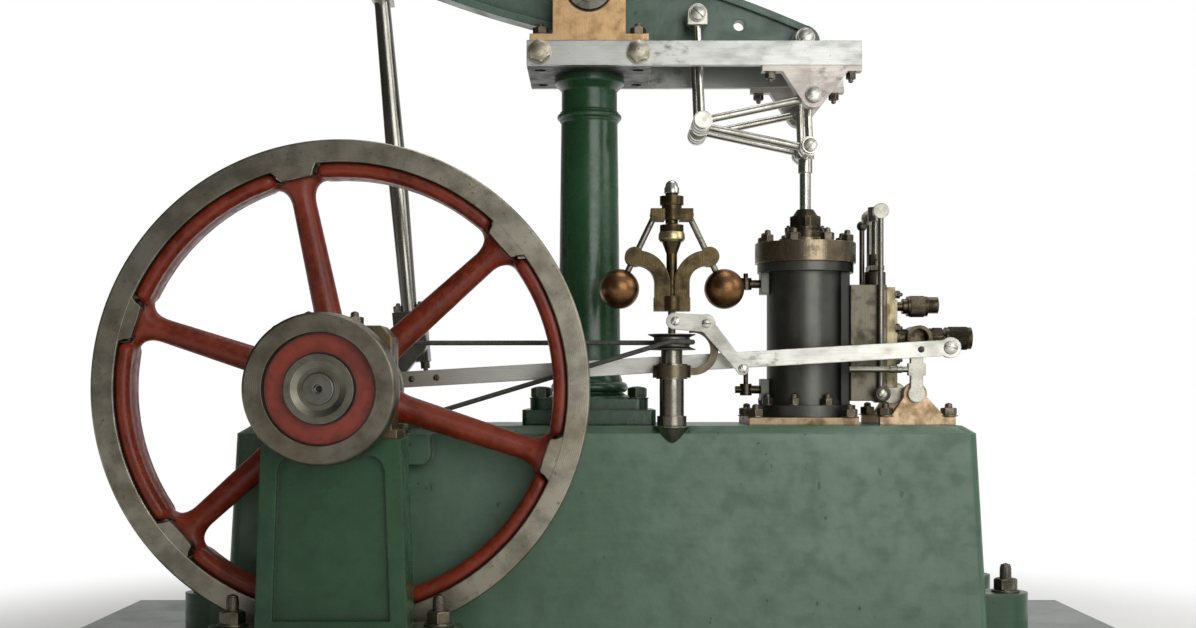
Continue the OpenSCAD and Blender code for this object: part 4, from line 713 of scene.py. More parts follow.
def wheel_enamel():
    """Red-brown enamel on a cast skin: painted shade in the groove by the rim's face and at the ring's ends,
    rubbed orange along the spokes.
    """
    finish, tree, shader, place = new_finish("red_wheel_enamel", 0.34, 0.0)
    feed(tree, shader, {"Coat Weight": 0.08, "Coat Roughness": 0.25, "Specular IOR Level": 0.25})
    clouds = patches(tree, place, 0.03, 0.35, 0.7)
    fine = patches(tree, place, 0.006, 0.42, 0.68)
    chips = patches(tree, place, 0.003, 0.68, 0.73)
    across, up = off_axis(tree, place)
    radius = shaft_radius(tree, place)
    angle = add(tree, MATH, {0: up, 1: across}, operation="ARCTAN2")
    face = FACE_R / 1000
    # Painted shade: a dark band just inside the rim's face, where the ring's edge lies in shade.
    groove = add(tree, MAP_RANGE, {"Value": radius, "From Min": face - 0.003, "From Max": face})
    # The angle is folded onto one pad, and the ring's ends are darkened with painted shade where they meet
    # it.
    half_gap = math.radians(SPOKE_GAP / 2)
    past = add(tree, MATH, {0: angle, 1: math.radians(FIRST_SPOKE)}, operation="SUBTRACT")
    folded = add(tree, MATH, {0: past, 1: half_gap, 2: -half_gap}, operation="WRAP")
    aside = add(tree, MATH, {0: folded}, operation="ABSOLUTE")
    outside = add(tree, MATH, {0: radius, 1: 0.1622}, operation="GREATER_THAN")
    ends = add(tree, MATH, {0: between(tree, aside, 0.06, 0.098), 1: outside}, operation="MULTIPLY")
    colour = tint(tree, "#792c18", "#51180c", 0.8, clouds)
    colour = tint(tree, colour, "#873d25", 0.4, fine)
    colour = tint(tree, colour, "#2a1510", 0.85, groove)
    colour = tint(tree, colour, "#241510", 0.8, ends)
    colour = tint(tree, colour, "#1f1814", 0.8, chips)
    skin = patches(tree, place, 0.005, 0.2, 0.8)
    flat = add(tree, "ShaderNodeNewGeometry").outputs["Normal"]
    surface(tree, shader, colour, skin, 0.00018, flat, (fine, 0.3, 0.5))
    return finish


web_work = wheel_web()
bmesh.ops.recalc_face_normals(web_work, faces=web_work.faces)
web_mesh = bpy.data.meshes.new("flywheel_web")
web_work.to_mesh(web_mesh)
web_work.free()
web = bpy.data.objects.new("flywheel_web", web_mesh)
bpy.context.collection.objects.link(web)
fuse = web.modifiers.new("fuse", "REMESH")
fuse.mode = "VOXEL"
fuse.voxel_size = 0.0016
ease = web.modifiers.new("ease", "SMOOTH")
ease.factor = 0.5
ease.iterations = 8
web.data = bpy.data.meshes.new_from_object(web.evaluated_get(bpy.context.evaluated_depsgraph_get()))
web.modifiers.clear()
web.data.shade_smooth()
web.data.materials.append(wheel_enamel())
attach(web, "crankshaft")
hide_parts("flywheel")


def rim_iron():
    """Faced grey iron: a dull grey with tool rings, green-brown clouds and rust freckles."""
    finish, tree, shader, place = new_finish("faced_iron_rim", 0.37, 1.0)
    rings = tool_rings(tree, shaft_radius(tree, place))
    colour = bare_iron(tree, place, rings, "#9a9586", "#615d52", "#7f7254")
    soft = add(tree, "ShaderNodeBevel", {"Radius": 0.0012}, samples=4)
    surface(tree, shader, colour, rings, 0.000025, soft)
    return finish


faced_iron = rim_iron()
rim_profile = [(FACE_R, 0.8), (FACE_R + 0.8, 0), (WHEEL_R - 1, 0), (WHEEL_R, 1), (WHEEL_R, RIM_WIDTH - 1),
               (WHEEL_R - 1, RIM_WIDTH), (FACE_R + 0.8, RIM_WIDTH), (FACE_R, RIM_WIDTH - 0.8)]
rim = turned("flywheel_rim", rim_profile, (SHAFT_X, RIM_FRONT, 0), BACK, faced_iron, "crankshaft",
             180)
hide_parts("flywheel")
pad_half = [(176, 19), (171.5, 17.2), (168, 14.4), (165.2, 13.6), (163.6, 12)]
pad_outline = [(r, -a) for r, a in pad_half] + [(163.2, 0)] + pad_half[::-1]
pads_work = bmesh.new()
for turn in SPOKE_TURNS:
    loft(pads_work, [[wheel_point(r, a, depth, turn) for r, a in pad_outline]
                     for depth in (RIM_FRONT + 0.1, RIM_BACK - 0.1)])
pads = settle(pads_work, "flywheel_pads", faced_iron, "crankshaft")
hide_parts("flywheel")

# Connecting rod and eccentric rod
# The connecting rod is turned and polished bar with a dark painted big end. The
# eccentric rod is a flat bar filed bright, with its strap held by small screws.
# The height up to which the rod is painted, in metres, as a shader reads it.
BIG_END_TOP = 0.2893


def polished_rod():
    """Polished bar with fine rings, painted dark green-black up to the big end's top."""
    finish, tree, shader, place = new_finish("polished_rod", 0.24, 1.0)
    height = add(tree, "ShaderNodeSeparateXYZ", {0: place}).outputs["Z"]
    clouds = patches(tree, place, 0.03, 0.4, 0.7, (1, 1, 4))
    fine = patches(tree, place, 0.0016, 0.4, 0.65, (1, 1, 12))
    painted = add(tree, MATH, {0: height, 1: BIG_END_TOP}, operation="LESS_THAN")
    soft = add(tree, "ShaderNodeBevel", {"Radius": 0.0012}, samples=4)
    edge = ridges(tree, soft)
    colour = tint(tree, "#a3a197", "#5f5d52", 0.6, clouds)
    colour = tint(tree, colour, "#5f5d52", 0.25, fine)
    colour = tint(tree, colour, "#2c3328", 0.92, painted)
    colour = tint(tree, colour, "#dcdcd2", 0.3, edge)
    bare = add(tree, MATH, {0: 1.0, 1: painted}, operation="SUBTRACT")
    surface(tree, shader, colour, fine, 0.000004, soft, metallic=bare)
    return finish


def flat_bar(name, colour, dark, marks, roughness=0.34):
    """Filed bright bar: pale, finely scratched along X, with oil stains between marks in metres."""
    finish, tree, shader, place = new_finish(name, roughness, 1.0)
    along = add(tree, "ShaderNodeSeparateXYZ", {0: place}).outputs["X"]
    clouds = patches(tree, place, 0.02, 0.42, 0.72, (2, 1, 1))
    # File marks are 0.2 mm apart; drawn at 1 mm so that they show.
    lines = patches(tree, place, 0.001, 0.35, 0.65, (25, 1, 1))
    spots = patches(tree, place, 0.007, 0.46, 0.74, (1.5, 1, 1))
    pits = patches(tree, place, 0.0022, 0.66, 0.72)
    stained = add(tree, MATH, {0: between(tree, along, marks[0], marks[1]), 1: spots}, operation="MULTIPLY")
    # Darker towards the end near the wheel, from 60 to 150 mm left of the middle.
    left = add(tree, MAP_RANGE, {"Value": along, "From Min": -0.06, "From Max": -0.15})
    soft = add(tree, "ShaderNodeBevel", {"Radius": 0.001}, samples=4)
    edge = ridges(tree, soft)
    colour = tint(tree, colour, dark, 0.45, clouds)
    colour = tint(tree, colour, dark, 0.25, lines)
    colour = tint(tree, colour, "#807868", 0.5, left)
    colour = tint(tree, colour, "#4a4036", 0.75, stained)
    colour = tint(tree, colour, "#5a5248", 0.6, pits)
    colour = tint(tree, colour, "#dcdcd8", 0.35, edge)
    surface(tree, shader, colour, lines, 0.00002, soft, (clouds, roughness, roughness + 0.14))
    return finish


dress(polished_rod(), "polished_steel", "connecting_rod")
dress(flat_bar("filed_flat_bar", "#b3b2ab", "#86847b", (0.105, 0.15)), "polished_steel", "eccentric_rod")


def screw_tree():
    """A round-headed screw: a block of points drawn into a domed disc, with a driver's slot."""
    tree = bpy.data.node_groups.new("slotted_screws", "GeometryNodeTree")
    given = size_inputs(tree, {"Radius": 0.005, "Height": 0.002, "Slot": 0.0012, "Depth": 0.001, "Seed": 1})
    block = add(tree, "GeometryNodeMeshCube",
                {"Size": (13, 2, 1), "Vertices X": 14, "Vertices Y": 15, "Vertices Z": 2})
    x, y, z = add(tree, "ShaderNodeSeparateXYZ", {0: add(tree, "GeometryNodeInputPosition")}).outputs
    # The first column of points each side of the middle is the edge of the slot's floor and
    # the second is its lip. The others share the room from there out to the rim.
    column = add(tree, MATH, {0: x}, operation="ABSOLUTE")
    half = add(tree, MATH, {0: given["Slot"], 1: 0.5}, operation="MULTIPLY")
    past_wall = add(tree, MATH, {0: column, 1: 1.0}, operation="GREATER_THAN")
    lean = add(tree, MATH, {0: 0.06, 1: past_wall}, operation="MULTIPLY")
    lean = add(tree, MATH, {0: 0.94, 1: lean}, operation="ADD")
    lip = add(tree, MATH, {0: half, 1: lean}, operation="MULTIPLY")
    far = add(tree, MATH, {0: column, 1: 1.5}, operation="SUBTRACT")
    far = add(tree, MATH, {0: far, 1: 0.0}, operation="MAXIMUM")
    far = add(tree, MATH, {0: far, 1: 0.2}, operation="MULTIPLY")
    room = add(tree, MATH, {0: given["Radius"], 1: 0.985}, operation="MULTIPLY")
    room = add(tree, MATH, {0: room, 1: half}, operation="SUBTRACT")
    reach = add(tree, MATH, {0: far, 1: room}, operation="MULTIPLY")
    reach = add(tree, MATH, {0: lip, 1: reach}, operation="ADD")
    side = add(tree, MATH, {0: x}, operation="SIGN")
    across = add(tree, MATH, {0: side, 1: reach}, operation="MULTIPLY")
    # Each column is as long as the disc's chord there.
    rim = add(tree, MATH, {0: given["Radius"], 1: 2.0}, operation="POWER")
    across_squared = add(tree, MATH, {0: across, 1: across}, operation="MULTIPLY")
    chord = add(tree, MATH, {0: rim, 1: across_squared}, operation="SUBTRACT")
    chord = add(tree, MATH, {0: chord}, operation="SQRT")
    length = add(tree, MATH, {0: y, 1: chord}, operation="MULTIPLY")
    # The dome falls by half its height at the rim, and the slot is sunk into it.
    length_squared = add(tree, MATH, {0: length, 1: length}, operation="MULTIPLY")
    out = add(tree, MATH, {0: across_squared, 1: length_squared}, operation="ADD")
    share = add(tree, MATH, {0: out, 1: rim}, operation="DIVIDE")
    fall = add(tree, MATH, {0: share, 1: 0.5}, operation="MULTIPLY")
    fall = add(tree, MATH, {0: 1.0, 1: fall}, operation="SUBTRACT")
    dome = add(tree, MATH, {0: given["Height"], 1: fall}, operation="MULTIPLY")
    in_slot = add(tree, MATH, {0: column, 1: 1.0}, operation="LESS_THAN")
    sunk = add(tree, MATH, {0: given["Depth"], 1: in_slot}, operation="MULTIPLY")
    top = add(tree, MATH, {0: dome, 1: sunk}, operation="SUBTRACT")
    level = add(tree, MATH, {0: z, 1: 0.5}, operation="ADD")
    rise = add(tree, MATH, {0: level, 1: top}, operation="MULTIPLY")
    spot = add(tree, "ShaderNodeCombineXYZ", {"X": across, "Y": length, "Z": rise})
    shaped = add(tree, "GeometryNodeSetPosition", {"Geometry": block, "Position": spot})
    flat = add(tree, "GeometryNodeSetShadeSmooth", {"Geometry": shaped, "Shade Smooth": False})
    seat_all(tree, given, flat)
    return tree


screws = screw_tree()
bright_screw = handled_steel("bright_screw_head", "#c9c8c0", "#8b897e", 0.3)
dark_screw = handled_steel("oiled_screw_head", "#5f594d", "#35302a", 0.36)
STRAP_X, STRAP_Z, ROD_SLOPE = -199, 5.2, 0.05835
rod_screws = [((x, -59, STRAP_Z + (x - STRAP_X) * ROD_SLOPE), FRONT) for x in (-151, -131, -31, 262)]
fasten("eccentric_rod_screws", screws,
       {"Radius": 0.0026, "Height": 0.0013, "Slot": 0.0007, "Depth": 0.0008, "Seed": 2},
       rod_screws, dark_screw, "eccentric")
fasten("eccentric_eye_pin", screws,
       {"Radius": 0.0056, "Height": 0.0022, "Slot": 0.0011, "Depth": 0.0012, "Seed": 4},
       [((286, -59, 33.5), FRONT)], bright_screw, "eccentric")
# The big end's two bolts lie along the rod, 9.3 mm each side of its line.
rod_line = Vector((-29.1, 0, 328.7)).normalized()
rod_side = Vector((rod_line.z, 0, -rod_line.x))
pin_centre = Vector((-157.6, 0, 39.4))
end_seats = [(tuple(pin_centre + rod_line * far + rod_side * aside), tuple(rod_line * way))
             for far, way in ((26, 1), (-17, -1)) for aside in (-9.3, 9.3)]
fasten("big_end_nuts", hexagons,
       {"Flats": 0.0075, "Height": 0.005, "Washer Radius": 0.0042, "Washer Height": 0.0009, "Seed": 9},
       end_seats, browned_nut, "connecting_rod")
fasten("big_end_bolts", studs, {"Radius": 0.0021, "Length": 0.008, "Pitch": 0.0008}, end_seats,
       browned_stud, "connecting_rod")

# Entablature and side bars
# A square steel block on the column carries two flat bars, bright and dented, held
# by big domed hexagon bolts. The radius-rod brackets are filed from the same plate.
SIDES = (("front", -1), ("back", 1))
dress(handled_steel("dull_steel_block", "#53554f", "#393b35", 0.42), "worn_steel", "entablature")
dress(flat_bar("dented_side_bar", "#b0b1ac", "#8c8d88", (0.044, 0.074), 0.36), "polished_steel",
      "side_bars")
dress(flat_bar("browned_bracket_steel", "#ada8a0", "#8b8077", (0.172, 0.205), 0.42), "polished_steel",
      "radius_brackets")
domed_bolt = handled_steel("domed_bolt_steel", "#c0bba9", "#857c66", 0.38)
for (name, side), seed in zip(SIDES, (11, 12)):
    fasten("side_bar_bolts_" + name, hexagons,
           {"Flats": 0.0165, "Height": 0.0055, "Crown": 0.0028, "Washer Radius": 0.0099,
            "Washer Height": 0.0012, "Seed": seed},
           [((COLUMN_X + x, 51 * side, 275), (0, side, 0)) for x in (-40.5, 40.5)], domed_bolt, "frame")
bracket_seats = [((x, y, 259.3), DOWN) for x in (141, 207) for y in (-46.3, 46.3)]
fasten("bracket_nuts", hexagons,
       {"Flats": 0.0078, "Height": 0.005, "Washer Radius": 0.0046, "Washer Height": 0.0007, "Seed": 21},
       bracket_seats, dark_screw, "frame")
fasten("bracket_studs", studs, {"Radius": 0.0022, "Length": 0.0085, "Pitch": 0.0008}, bracket_seats,
       dark_screw, "frame")
cup_profile = [(0, -0.5), (3.4, -0.5), (3.4, 2), (5.6, 3), (6, 7.5), (5, 9), (2, 9.6), (1.8, 10.8), (0, 11)]
for name, side in SIDES:
    turned("trunnion_oil_cup_" + name, cup_profile, (COLUMN_X, 31 * side, 356), UP, dark_bronze, "frame",
           32)

# Beam and its motion links
# One iron casting for the beam, in the same green as the bed but handled more. The
# links are slim bright bars, and every pin has a slotted screw through its washer.
TRUNNION_Z = 330
LINK_PIN = (82.4, 310.9)
dress(engine_enamel("beam_green_enamel", "#3f5a48", "#62776a", "#25372c", 0.3), "beam_green", "beam")
link_steel = bright_steel("polished_link_steel", "#c6c3b9", "#838076", 0.25, (1, 1, 20))
dress(link_steel, "polished_steel", "main_links", "back_links", "parallel_rods", "radius_rods",
      "piston_rod", "piston")


def pin_ends(x, y, z):
    """Seats on both ends of a pin across the engine, y each side of the beam's plane."""
    return [((x, y * side, z), (0, side, 0)) for side in (-1, 1)]


beam_ends = pin_ends(LINK_PIN[0], 33.8, LINK_PIN[1]) + pin_ends(172.1, 33.8, 291.9)
beam_ends += pin_ends(-186.7, 23.9, 368.1)
for name, seats, body in (("beam_pin_screws", beam_ends, "beam"),
                          ("back_link_screws", pin_ends(86.2, 40.8, 221), "radius_rods"),
                          ("crosshead_screws", pin_ends(PISTON_X, 33.8, 201.9), "piston"),
                          ("radius_pin_screws", pin_ends(PISTON_X, 54, 240), "frame")):
    fasten(name, screws, {"Radius": 0.0058, "Height": 0.0024, "Slot": 0.0012, "Depth": 0.0014,
                          "Seed": len(name)}, seats, bright_screw, body)
fasten("trunnion_end_caps", screws,
       {"Radius": 0.0078, "Height": 0.0022, "Slot": 0.0016, "Depth": 0.0012, "Seed": 5},
       pin_ends(COLUMN_X, 46, TRUNNION_Z), dark_screw, "beam")
trunnion_grey = handled_steel("oily_trunnion_steel", "#77756b", "#46443c", 0.4)
# The thin near-black ring under each washer stands for the shade in the gap round it: painted shade.
trunnion_gap_shade = handled_steel("painted_gap_shade_ring", "#2a2722", "#181613", 0.5)
shade_ring_profile = [(0, 0.3), (19.9, 0.3), (20.2, 0.6), (19.9, 1.1), (0, 1.1)]
washer_profile = [(0, 0.4), (18.3, 0.4), (18.5, 2.0), (18.0, 2.5), (10.5, 2.6), (10, 2.0), (0, 1.9)]
for name, side in SIDES:
    for title, profile, finish in (("trunnion_gap_shade_ring_", shade_ring_profile, trunnion_gap_shade),
                                   ("trunnion_washer_", washer_profile, trunnion_grey)):
        turned(title + name, profile, (COLUMN_X, 42 * side, TRUNNION_Z), (0, side, 0), finish, "beam",
               64)
# A strap goes over the top of each back link's pin, with a round head and a small chamfer.
STRAP_R = 8.6
head_turns = [math.radians(degrees) for degrees in range(0, 181, 15)]
head = [(STRAP_R * math.cos(turn), STRAP_R * math.sin(turn)) for turn in head_turns]
strap_outline = [(-STRAP_R, -9.5), (STRAP_R, -9.5)] + head
strap_work = bmesh.new()
for side in (-1, 1):
    loft(strap_work, [[at(LINK_PIN[0] + x * size, side * deep, LINK_PIN[1] + z * size)
                       for x, z in strap_outline]
                      for deep, size in ((27.6, 1.0), (31.6, 1.0), (32.4, 0.93))])
settle(strap_work, "back_link_straps", bright_steel("strap_steel", "#b6b4ab", "#827f74", 0.34), "back_links")

# Cylinder, chest and fittings
# An iron cylinder lagged and blacked with stove paint, under a gunmetal cover held
# by eight studs. The steam chest is bare iron with a brass cover and brass fittings.


def stove_black():
    """Rubbed stove black on sheet: near black, with a broad soft shine and grey handling marks."""
    finish, tree, shader, place = new_finish("stove_black", 0.36, 0.75)
    clouds = patches(tree, place, 0.03, 0.4, 0.75)
    wipes = patches(tree, place, 0.004, 0.4, 0.7, (1, 1, 9))
    specks = patches(tree, place, 0.0028, 0.66, 0.72)
    soft = add(tree, "ShaderNodeBevel", {"Radius": 0.0014}, samples=4)
    edge = ridges(tree, soft)
    colour = tint(tree, "#52524d", "#3a3a37", 0.8, clouds)
    colour = tint(tree, colour, "#57564f", 0.35, wipes)
    colour = tint(tree, colour, "#6b6350", 0.5, specks)
    colour = tint(tree, colour, "#7a7361", 0.35, edge)
    # Painted shade: the port box and the barrel's edge beside it, which the chest shades, are darkened near
    # black.
    along = add(tree, "ShaderNodeSeparateXYZ", {0: place}).outputs["X"]
    painted_port_shade = add(tree, MAP_RANGE, {"Value": along, "From Min": 0.195, "From Max": 0.203},
               interpolation_type="SMOOTHSTEP")
    colour = tint(tree, colour, "#1a1a18", 0.85, painted_port_shade)
    surface(tree, shader, colour, wipes, 0.00003, soft)
    return finish


cover_gunmetal = gunmetal("oiled_gunmetal_cover", "#857963", "#3a3226", 0.28, 0.7)
chest_iron = gunmetal("bare_chest_iron", "#575347", "#353127", 0.36, 0.6, 0.2)
chest_brass = gunmetal("chest_cover_brass", "#8f8468", "#5f5540", 0.38)
dress(stove_black(), "lagging_black", "cylinder_body")
dress(cover_gunmetal, "old_bronze", "cylinder_cover")
dress(chest_iron, "cast_grey", "valve_chest")
dress(chest_brass, "old_bronze", "chest_cover")

cover_turns = [math.radians(22.5 + 45 * k) for k in range(8)]
cover_studs = [(PISTON_X + 36.2 * math.cos(turn), 36.2 * math.sin(turn)) for turn in cover_turns]
cover_seats = [((x, y, 123), UP) for x, y in cover_studs]
# The foot's ring has the same studs, apart from the two beside the chest.
foot_seats = [((x, y, -13.5), UP) for x, y in cover_studs if x < 206]
chest_seats = [((248, y, z), RIGHT) for y in (-19, 19) for z in (-4, 24, 51, 79)]
gland_seats = [((235, y, 104), UP) for y in (-8, 8)] + [((PISTON_X + x, 0, 133), UP) for x in (-14.6, 14.6)]
for name, seats, size in (("cylinder_cover", cover_seats, 0.0098),
                          ("cylinder_foot_ring", foot_seats, 0.009),
                          ("chest_cover", chest_seats, 0.0062), ("gland", gland_seats, 0.0052)):
    fasten(name + "_nuts", hexagons,
           {"Flats": size, "Height": size * 0.6, "Washer Radius": size * 0.56, "Washer Height": 0.0006,
            "Seed": len(name)}, seats, browned_nut, "frame")
    fasten(name + "_studs", studs, {"Radius": size * 0.28, "Length": size * 1.05, "Pitch": 0.0009}, seats,
           browned_stud, "frame")
fasten("gland_hexagon", hexagons,
       {"Flats": 0.0252, "Height": 0.0085, "Washer Radius": 0.0142, "Washer Height": 0.002, "Seed": 8},
       [((PISTON_X, 0, 135), UP)], smoked_brass, "frame")
fasten("steam_union_nut", hexagons,
       {"Flats": 0.0168, "Height": 0.0095, "Washer Radius": 0.0088, "Washer Height": 0.0012, "Seed": 8},
       [((281, 0, 43), RIGHT)], smoked_brass, "frame")


def knurled(name, foot, along, radius, length, finish, body, flute=0.5):
    """A grip with straight knurling between two plain chamfers, its flutes as deep as flute, in mm."""
    profile = [(radius - 2.4, 0), (radius - 0.9, 0), (radius, 1), (radius, length - 1),
               (radius - 0.9, length), (radius - 2.4, length)]
    piece = turned(name, profile, foot, along, finish, body, 72)
    axis = Vector(along)
    for k, vertex in enumerate(piece.data.vertices):
        away = vertex.co - (at(*foot) + axis * length / 2000)
        away -= axis * away.dot(axis)
        if k % 2 and away.length * 1000 > radius - 0.5:
            vertex.co -= away.normalized() * flute / 1000
    for face in piece.data.polygons:
        face.use_smooth = False


horn_grip = gunmetal("smoked_grip", "#2b251e", "#15110d", 0.42, 0.8, 0.04)
knurled("steam_handle_grip", (296.5, 0, 43), RIGHT, 9.9, 17, horn_grip, "frame")
knurled("oiler_grip", (263.5, 0, 70), RIGHT, 9.1, 13.5, smoked_brass, "frame")

# Rocker and valve gear
# Small steel levers and rods, filed bright, oily where they rub. A knurled nut
# and a slotted screw hold the arm's pin at each end.
ARM_X, ARM_FACE, ARM_NUT = 235, 35, 3.2
ROCKER_Z = -4
dress(bright_steel("oily_lever_steel", "#8f8d83", "#57544a", 0.3), "polished_steel", "rocker_lever",
      "valve_rod")
fasten("rocker_pivot_screws", screws,
       {"Radius": 0.0048, "Height": 0.002, "Slot": 0.001, "Depth": 0.0011, "Seed": 6},
       pin_ends(ROCKER_X, 46, ROCKER_Z), bright_screw, "rocker")
black_nut = handled_steel("oil_black_nut", "#3f3a31", "#1f1c17", 0.3)
for name, side in SIDES:
    knurled("rocker_arm_nut_" + name, (ARM_X, side * ARM_FACE, ROCKER_Z), (0, side, 0), 6.6, ARM_NUT,
            black_nut, "rocker", 0.35)
fasten("rocker_arm_screws", screws,
       {"Radius": 0.0036, "Height": 0.0016, "Slot": 0.0009, "Depth": 0.0009, "Seed": 3},
       pin_ends(ARM_X, ARM_FACE + ARM_NUT, ROCKER_Z), bright_screw, "rocker")

# Governor and belt
# A turned steel stand, cast bronze horns and two turned bronze balls on steel
# arms. A round hide belt drives it, black with wax and dust.
GOVERNOR_X, GOVERNOR_Y = 59, -75
BALL_R = 0.0165
stand_steel = bright_steel("turned_stand_steel", "#8f8b80", "#565146", 0.22)
lever_plate = bright_steel("governor_lever_plate", "#a6a49c", "#7b7970", 0.38, (12, 1, 1))
dress(stand_steel, "polished_steel", "governor_stand")
dress(lever_plate, "polished_steel", "governor_lever")
dress(bright_steel("brown_bracket_steel", "#665d4c", "#41392c", 0.36), "worn_steel", "governor_bracket")


def ball_and_arm(name, side):
    """A bronze ball gone brown in the hand, on a steel arm that is dull with oil."""
    finish, tree, shader, place = new_finish(name, 0.27, 1.0)
    centre = tuple(at(GOVERNOR_X + 42 * side, GOVERNOR_Y, 80))
    away = add(tree, VECTOR_MATH, {0: place, 1: centre}, operation="DISTANCE").outputs["Value"]
    ball = add(tree, MATH, {0: away, 1: BALL_R}, operation="LESS_THAN")
    clouds = patches(tree, place, 0.012, 0.4, 0.7)
    thumbed = patches(tree, place, 0.004, 0.5, 0.7)
    soft = add(tree, "ShaderNodeBevel", {"Radius": 0.0008}, samples=4)
    bronze = tint(tree, "#83603f", "#573c25", 0.6, clouds)
    bronze = tint(tree, bronze, "#4a3626", 0.4, thumbed)
    steel = tint(tree, "#7b776b", "#3c382e", 0.8, thumbed)
    colour = add(tree, "ShaderNodeMix", {0: ball, 6: steel, 7: bronze}, data_type="RGBA").outputs[2]
    surface(tree, shader, colour, clouds, 0.00002, soft, (thumbed, 0.33, 0.46))
    return finish


def waxed_hide():
    """Round hide belt: black wax worn grey in the grain, dusty and not shiny."""
    finish, tree, shader, place = new_finish("waxed_hide_belt", 0.62, 0.0)
    worn = patches(tree, place, 0.004, 0.35, 0.65)
    grain = patches(tree, place, 0.0012, 0.3, 0.7, (3, 1, 1))
    colour = tint(tree, "#3d3d3a", "#232320", 0.7, worn)
    colour = tint(tree, colour, "#6a6961", 0.35, grain)
    surface(tree, shader, colour, grain, 0.00015, add(tree, "ShaderNodeNewGeometry").outputs["Normal"])
    return finish


for arm, side in (("left_ball_arm", -1), ("right_ball_arm", 1)):
    dress(ball_and_arm(arm + "_bronze_and_steel", side), "ball_bronze", arm)
dress(waxed_hide(), "belt_rubber", "governor_belt")
turned("governor_acorn_nut", [(0, 0), (5, 0), (6, 1), (6, 5), (5.2, 6.4), (4.8, 8.6), (3, 10.6), (0, 11.4)],
       (GOVERNOR_X, GOVERNOR_Y, 155.6), UP, bright_steel("acorn_nut_steel", "#dcdbd6", "#8c8a82", 0.2),
       "governor", 40)
turned("governor_lock_ring", [(6.5, 0), (9, 0), (10.6, 2), (10.6, 6), (9.8, 8), (6.5, 8)],
       (GOVERNOR_X, GOVERNOR_Y, 117.5), UP, bright_steel("lock_ring_brass", "#cfc193", "#8d7b4c", 0.3),
       "governor", 48)
turned("governor_stand_tip", [(0, 0), (3.4, 0), (5, 1.2), (13, 12.6), (14.4, 14.2), (14.4, 15.2), (0, 15.2)],
       (GOVERNOR_X, GOVERNOR_Y, -44.8), UP, stand_steel, "frame", 48)
fasten("governor_lever_screws", screws,
       {"Radius": 0.0036, "Height": 0.0016, "Slot": 0.0009, "Depth": 0.0009, "Seed": 7},
       [((x, -83, z), FRONT) for x, z in ((86, 52), (61.5, 54), (115, 16))], bright_screw, "governor_lever")

# Studio
# A plain pale floor and a white surround, one large soft lamp high on the right
# of the camera, a weaker one at the right and one above, as the photograph's
# shading shows.


def studio_world():
    """White behind the object, and a soft room of middling brightness for its light."""
    world = bpy.data.worlds.new("soft_studio")
    world.use_nodes = True
    tree = world.node_tree
    tree.nodes.clear()
    way = add(tree, "ShaderNodeTexCoord").outputs["Generated"]
    parts = add(tree, "ShaderNodeSeparateXYZ", {0: way}).outputs
    rise = add(tree, MAP_RANGE,
               {"Value": parts["Z"], "From Min": -0.4, "From Max": 0.9, "To Min": 0.1, "To Max": 0.55})
    right = add(tree, MAP_RANGE,
                {"Value": parts["X"], "From Min": -0.34, "From Max": 0.18, "To Min": 0.2, "To Max": 1.15},
                interpolation_type="SMOOTHSTEP")
    room = add(tree, MATH, {0: rise, 1: right}, operation="MULTIPLY")
    back = add(tree, MAP_RANGE,
               {"Value": parts["Y"], "From Min": 0.55, "From Max": 0.95, "To Min": 0.0, "To Max": 0.5})
    path = add(tree, "ShaderNodeLightPath").outputs
    shiny = add(tree, MATH, {0: path["Is Glossy Ray"], 1: path["Is Transmission Ray"]}, operation="MAXIMUM")
    share = add(tree, MATH, {0: shiny, 1: back}, operation="MULTIPLY")
    seen = add(tree, MATH, {0: path["Is Camera Ray"], 1: share}, operation="MAXIMUM")
    # A mix of numbers takes them at inputs 2 and 3.
    strength = add(tree, "ShaderNodeMix", {0: seen, 2: room, 3: 1.0}, data_type="FLOAT")
    glow = add(tree, "ShaderNodeBackground", {"Color": linear("#ffffff"), "Strength": strength})
    add(tree, "ShaderNodeOutputWorld", {"Surface": glow})
    return world


def soft_lamp(name, place, aim, size, power):
    """A square area lamp that looks at a point."""
    lamp = bpy.data.lights.new(name, "AREA")
    lamp.size = size
    lamp.energy = power
    holder = bpy.data.objects.new(name, lamp)
    holder.location = place
    holder.rotation_euler = (Vector(aim) - Vector(place)).to_track_quat("-Z", "Y").to_euler()
    bpy.context.collection.objects.link(holder)


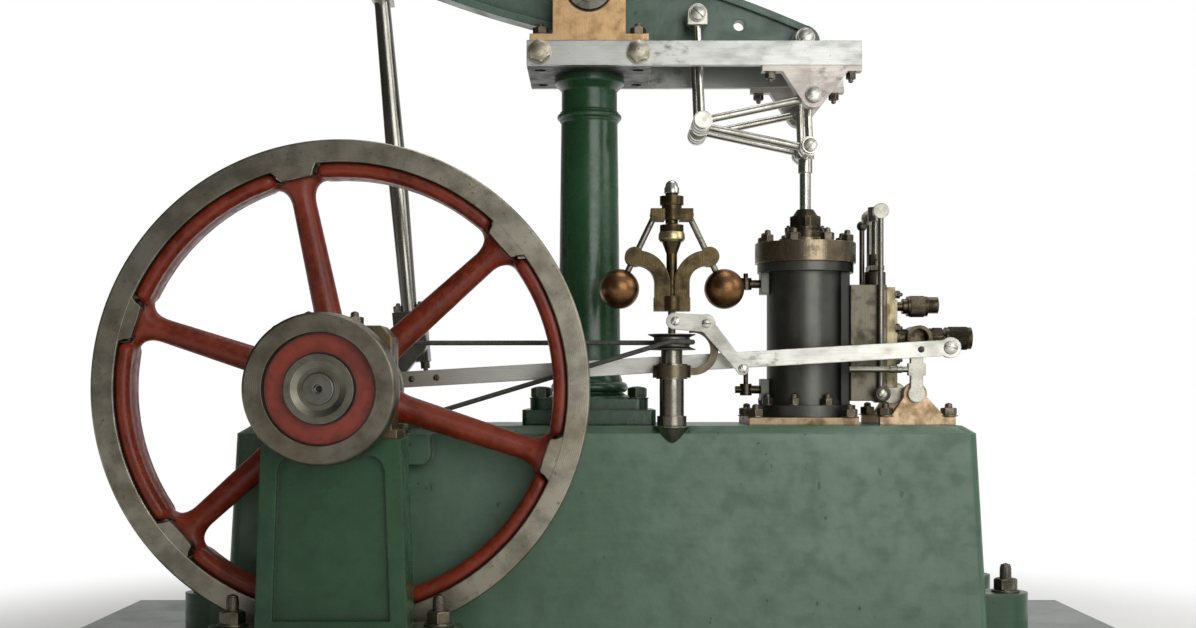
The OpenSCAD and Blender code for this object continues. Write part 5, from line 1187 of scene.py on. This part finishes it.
def pale_paper():
    """Matt paper that keeps the shadow near the plate, and turns plain white away from it."""
    finish, tree, shader, place = new_finish("pale_paper_floor", 0.8, 0.0)
    feed(tree, shader, {"Base Color": linear("#f2f1ee")})
    path = add(tree, "ShaderNodeLightPath").outputs
    reach = add(tree, VECTOR_MATH, {0: place}, operation="LENGTH").outputs["Value"]
    far = add(tree, MAP_RANGE, {"Value": reach, "From Min": 0.5, "From Max": 0.85},
              interpolation_type="SMOOTHSTEP")
    shiny = add(tree, MATH, {0: path["Is Glossy Ray"], 1: path["Is Transmission Ray"]}, operation="MAXIMUM")
    seen = add(tree, MATH, {0: path["Is Camera Ray"], 1: shiny}, operation="MAXIMUM")
    share = add(tree, MATH, {0: seen, 1: far}, operation="MULTIPLY")
    glow = add(tree, "ShaderNodeEmission", {"Color": linear("#ffffff"), "Strength": 1.0})
    mixed = add(tree, "ShaderNodeMixShader", {0: share, 1: shader, 2: glow})
    end = next(node for node in tree.nodes if node.type == "OUTPUT_MATERIAL")
    feed(tree, end, {"Surface": mixed})
    return finish


bpy.context.scene.world = studio_world()
soft_lamp("key_lamp", (0.64, -1.6, 0.6), (0.1, 0.0, 0.25), 1.15, 13.2)
soft_lamp("side_lamp", (1.7, -0.5, 1.1), (0.0, 0.0, 0.25), 1.0, 7.5)
soft_lamp("top_lamp", (0.3, 0.3, 2.0), (0.0, 0.0, 0.2), 1.0, 12)

floor_mesh = bpy.data.meshes.new("floor")
floor_mesh.from_pydata([(-6, -3, 0), (6, -3, 0), (6, 9, 0), (-6, 9, 0)], [], [(0, 1, 2, 3)])
floor_mesh.materials.append(pale_paper())
floor = bpy.data.objects.new("floor", floor_mesh)
bpy.context.collection.objects.link(floor)

# The camera stands level with the crankshaft, 1.277 m in front of the plate's middle.
eye = bpy.data.cameras.new("photograph_view")
eye.lens = 46.35
eye.sensor_width = 36.0
eye.sensor_fit = "HORIZONTAL"
eye.shift_y = 0.0627
eye.clip_start = 0.05
viewer = bpy.data.objects.new("photograph_view", eye)
viewer.location = (0.0, -1.277, SHAFT_HEIGHT / 1000)
viewer.rotation_euler = (math.radians(90), 0, 0)
bpy.context.collection.objects.link(viewer)
bpy.context.scene.camera = viewer
bpy.context.scene.view_settings.view_transform = "Standard"
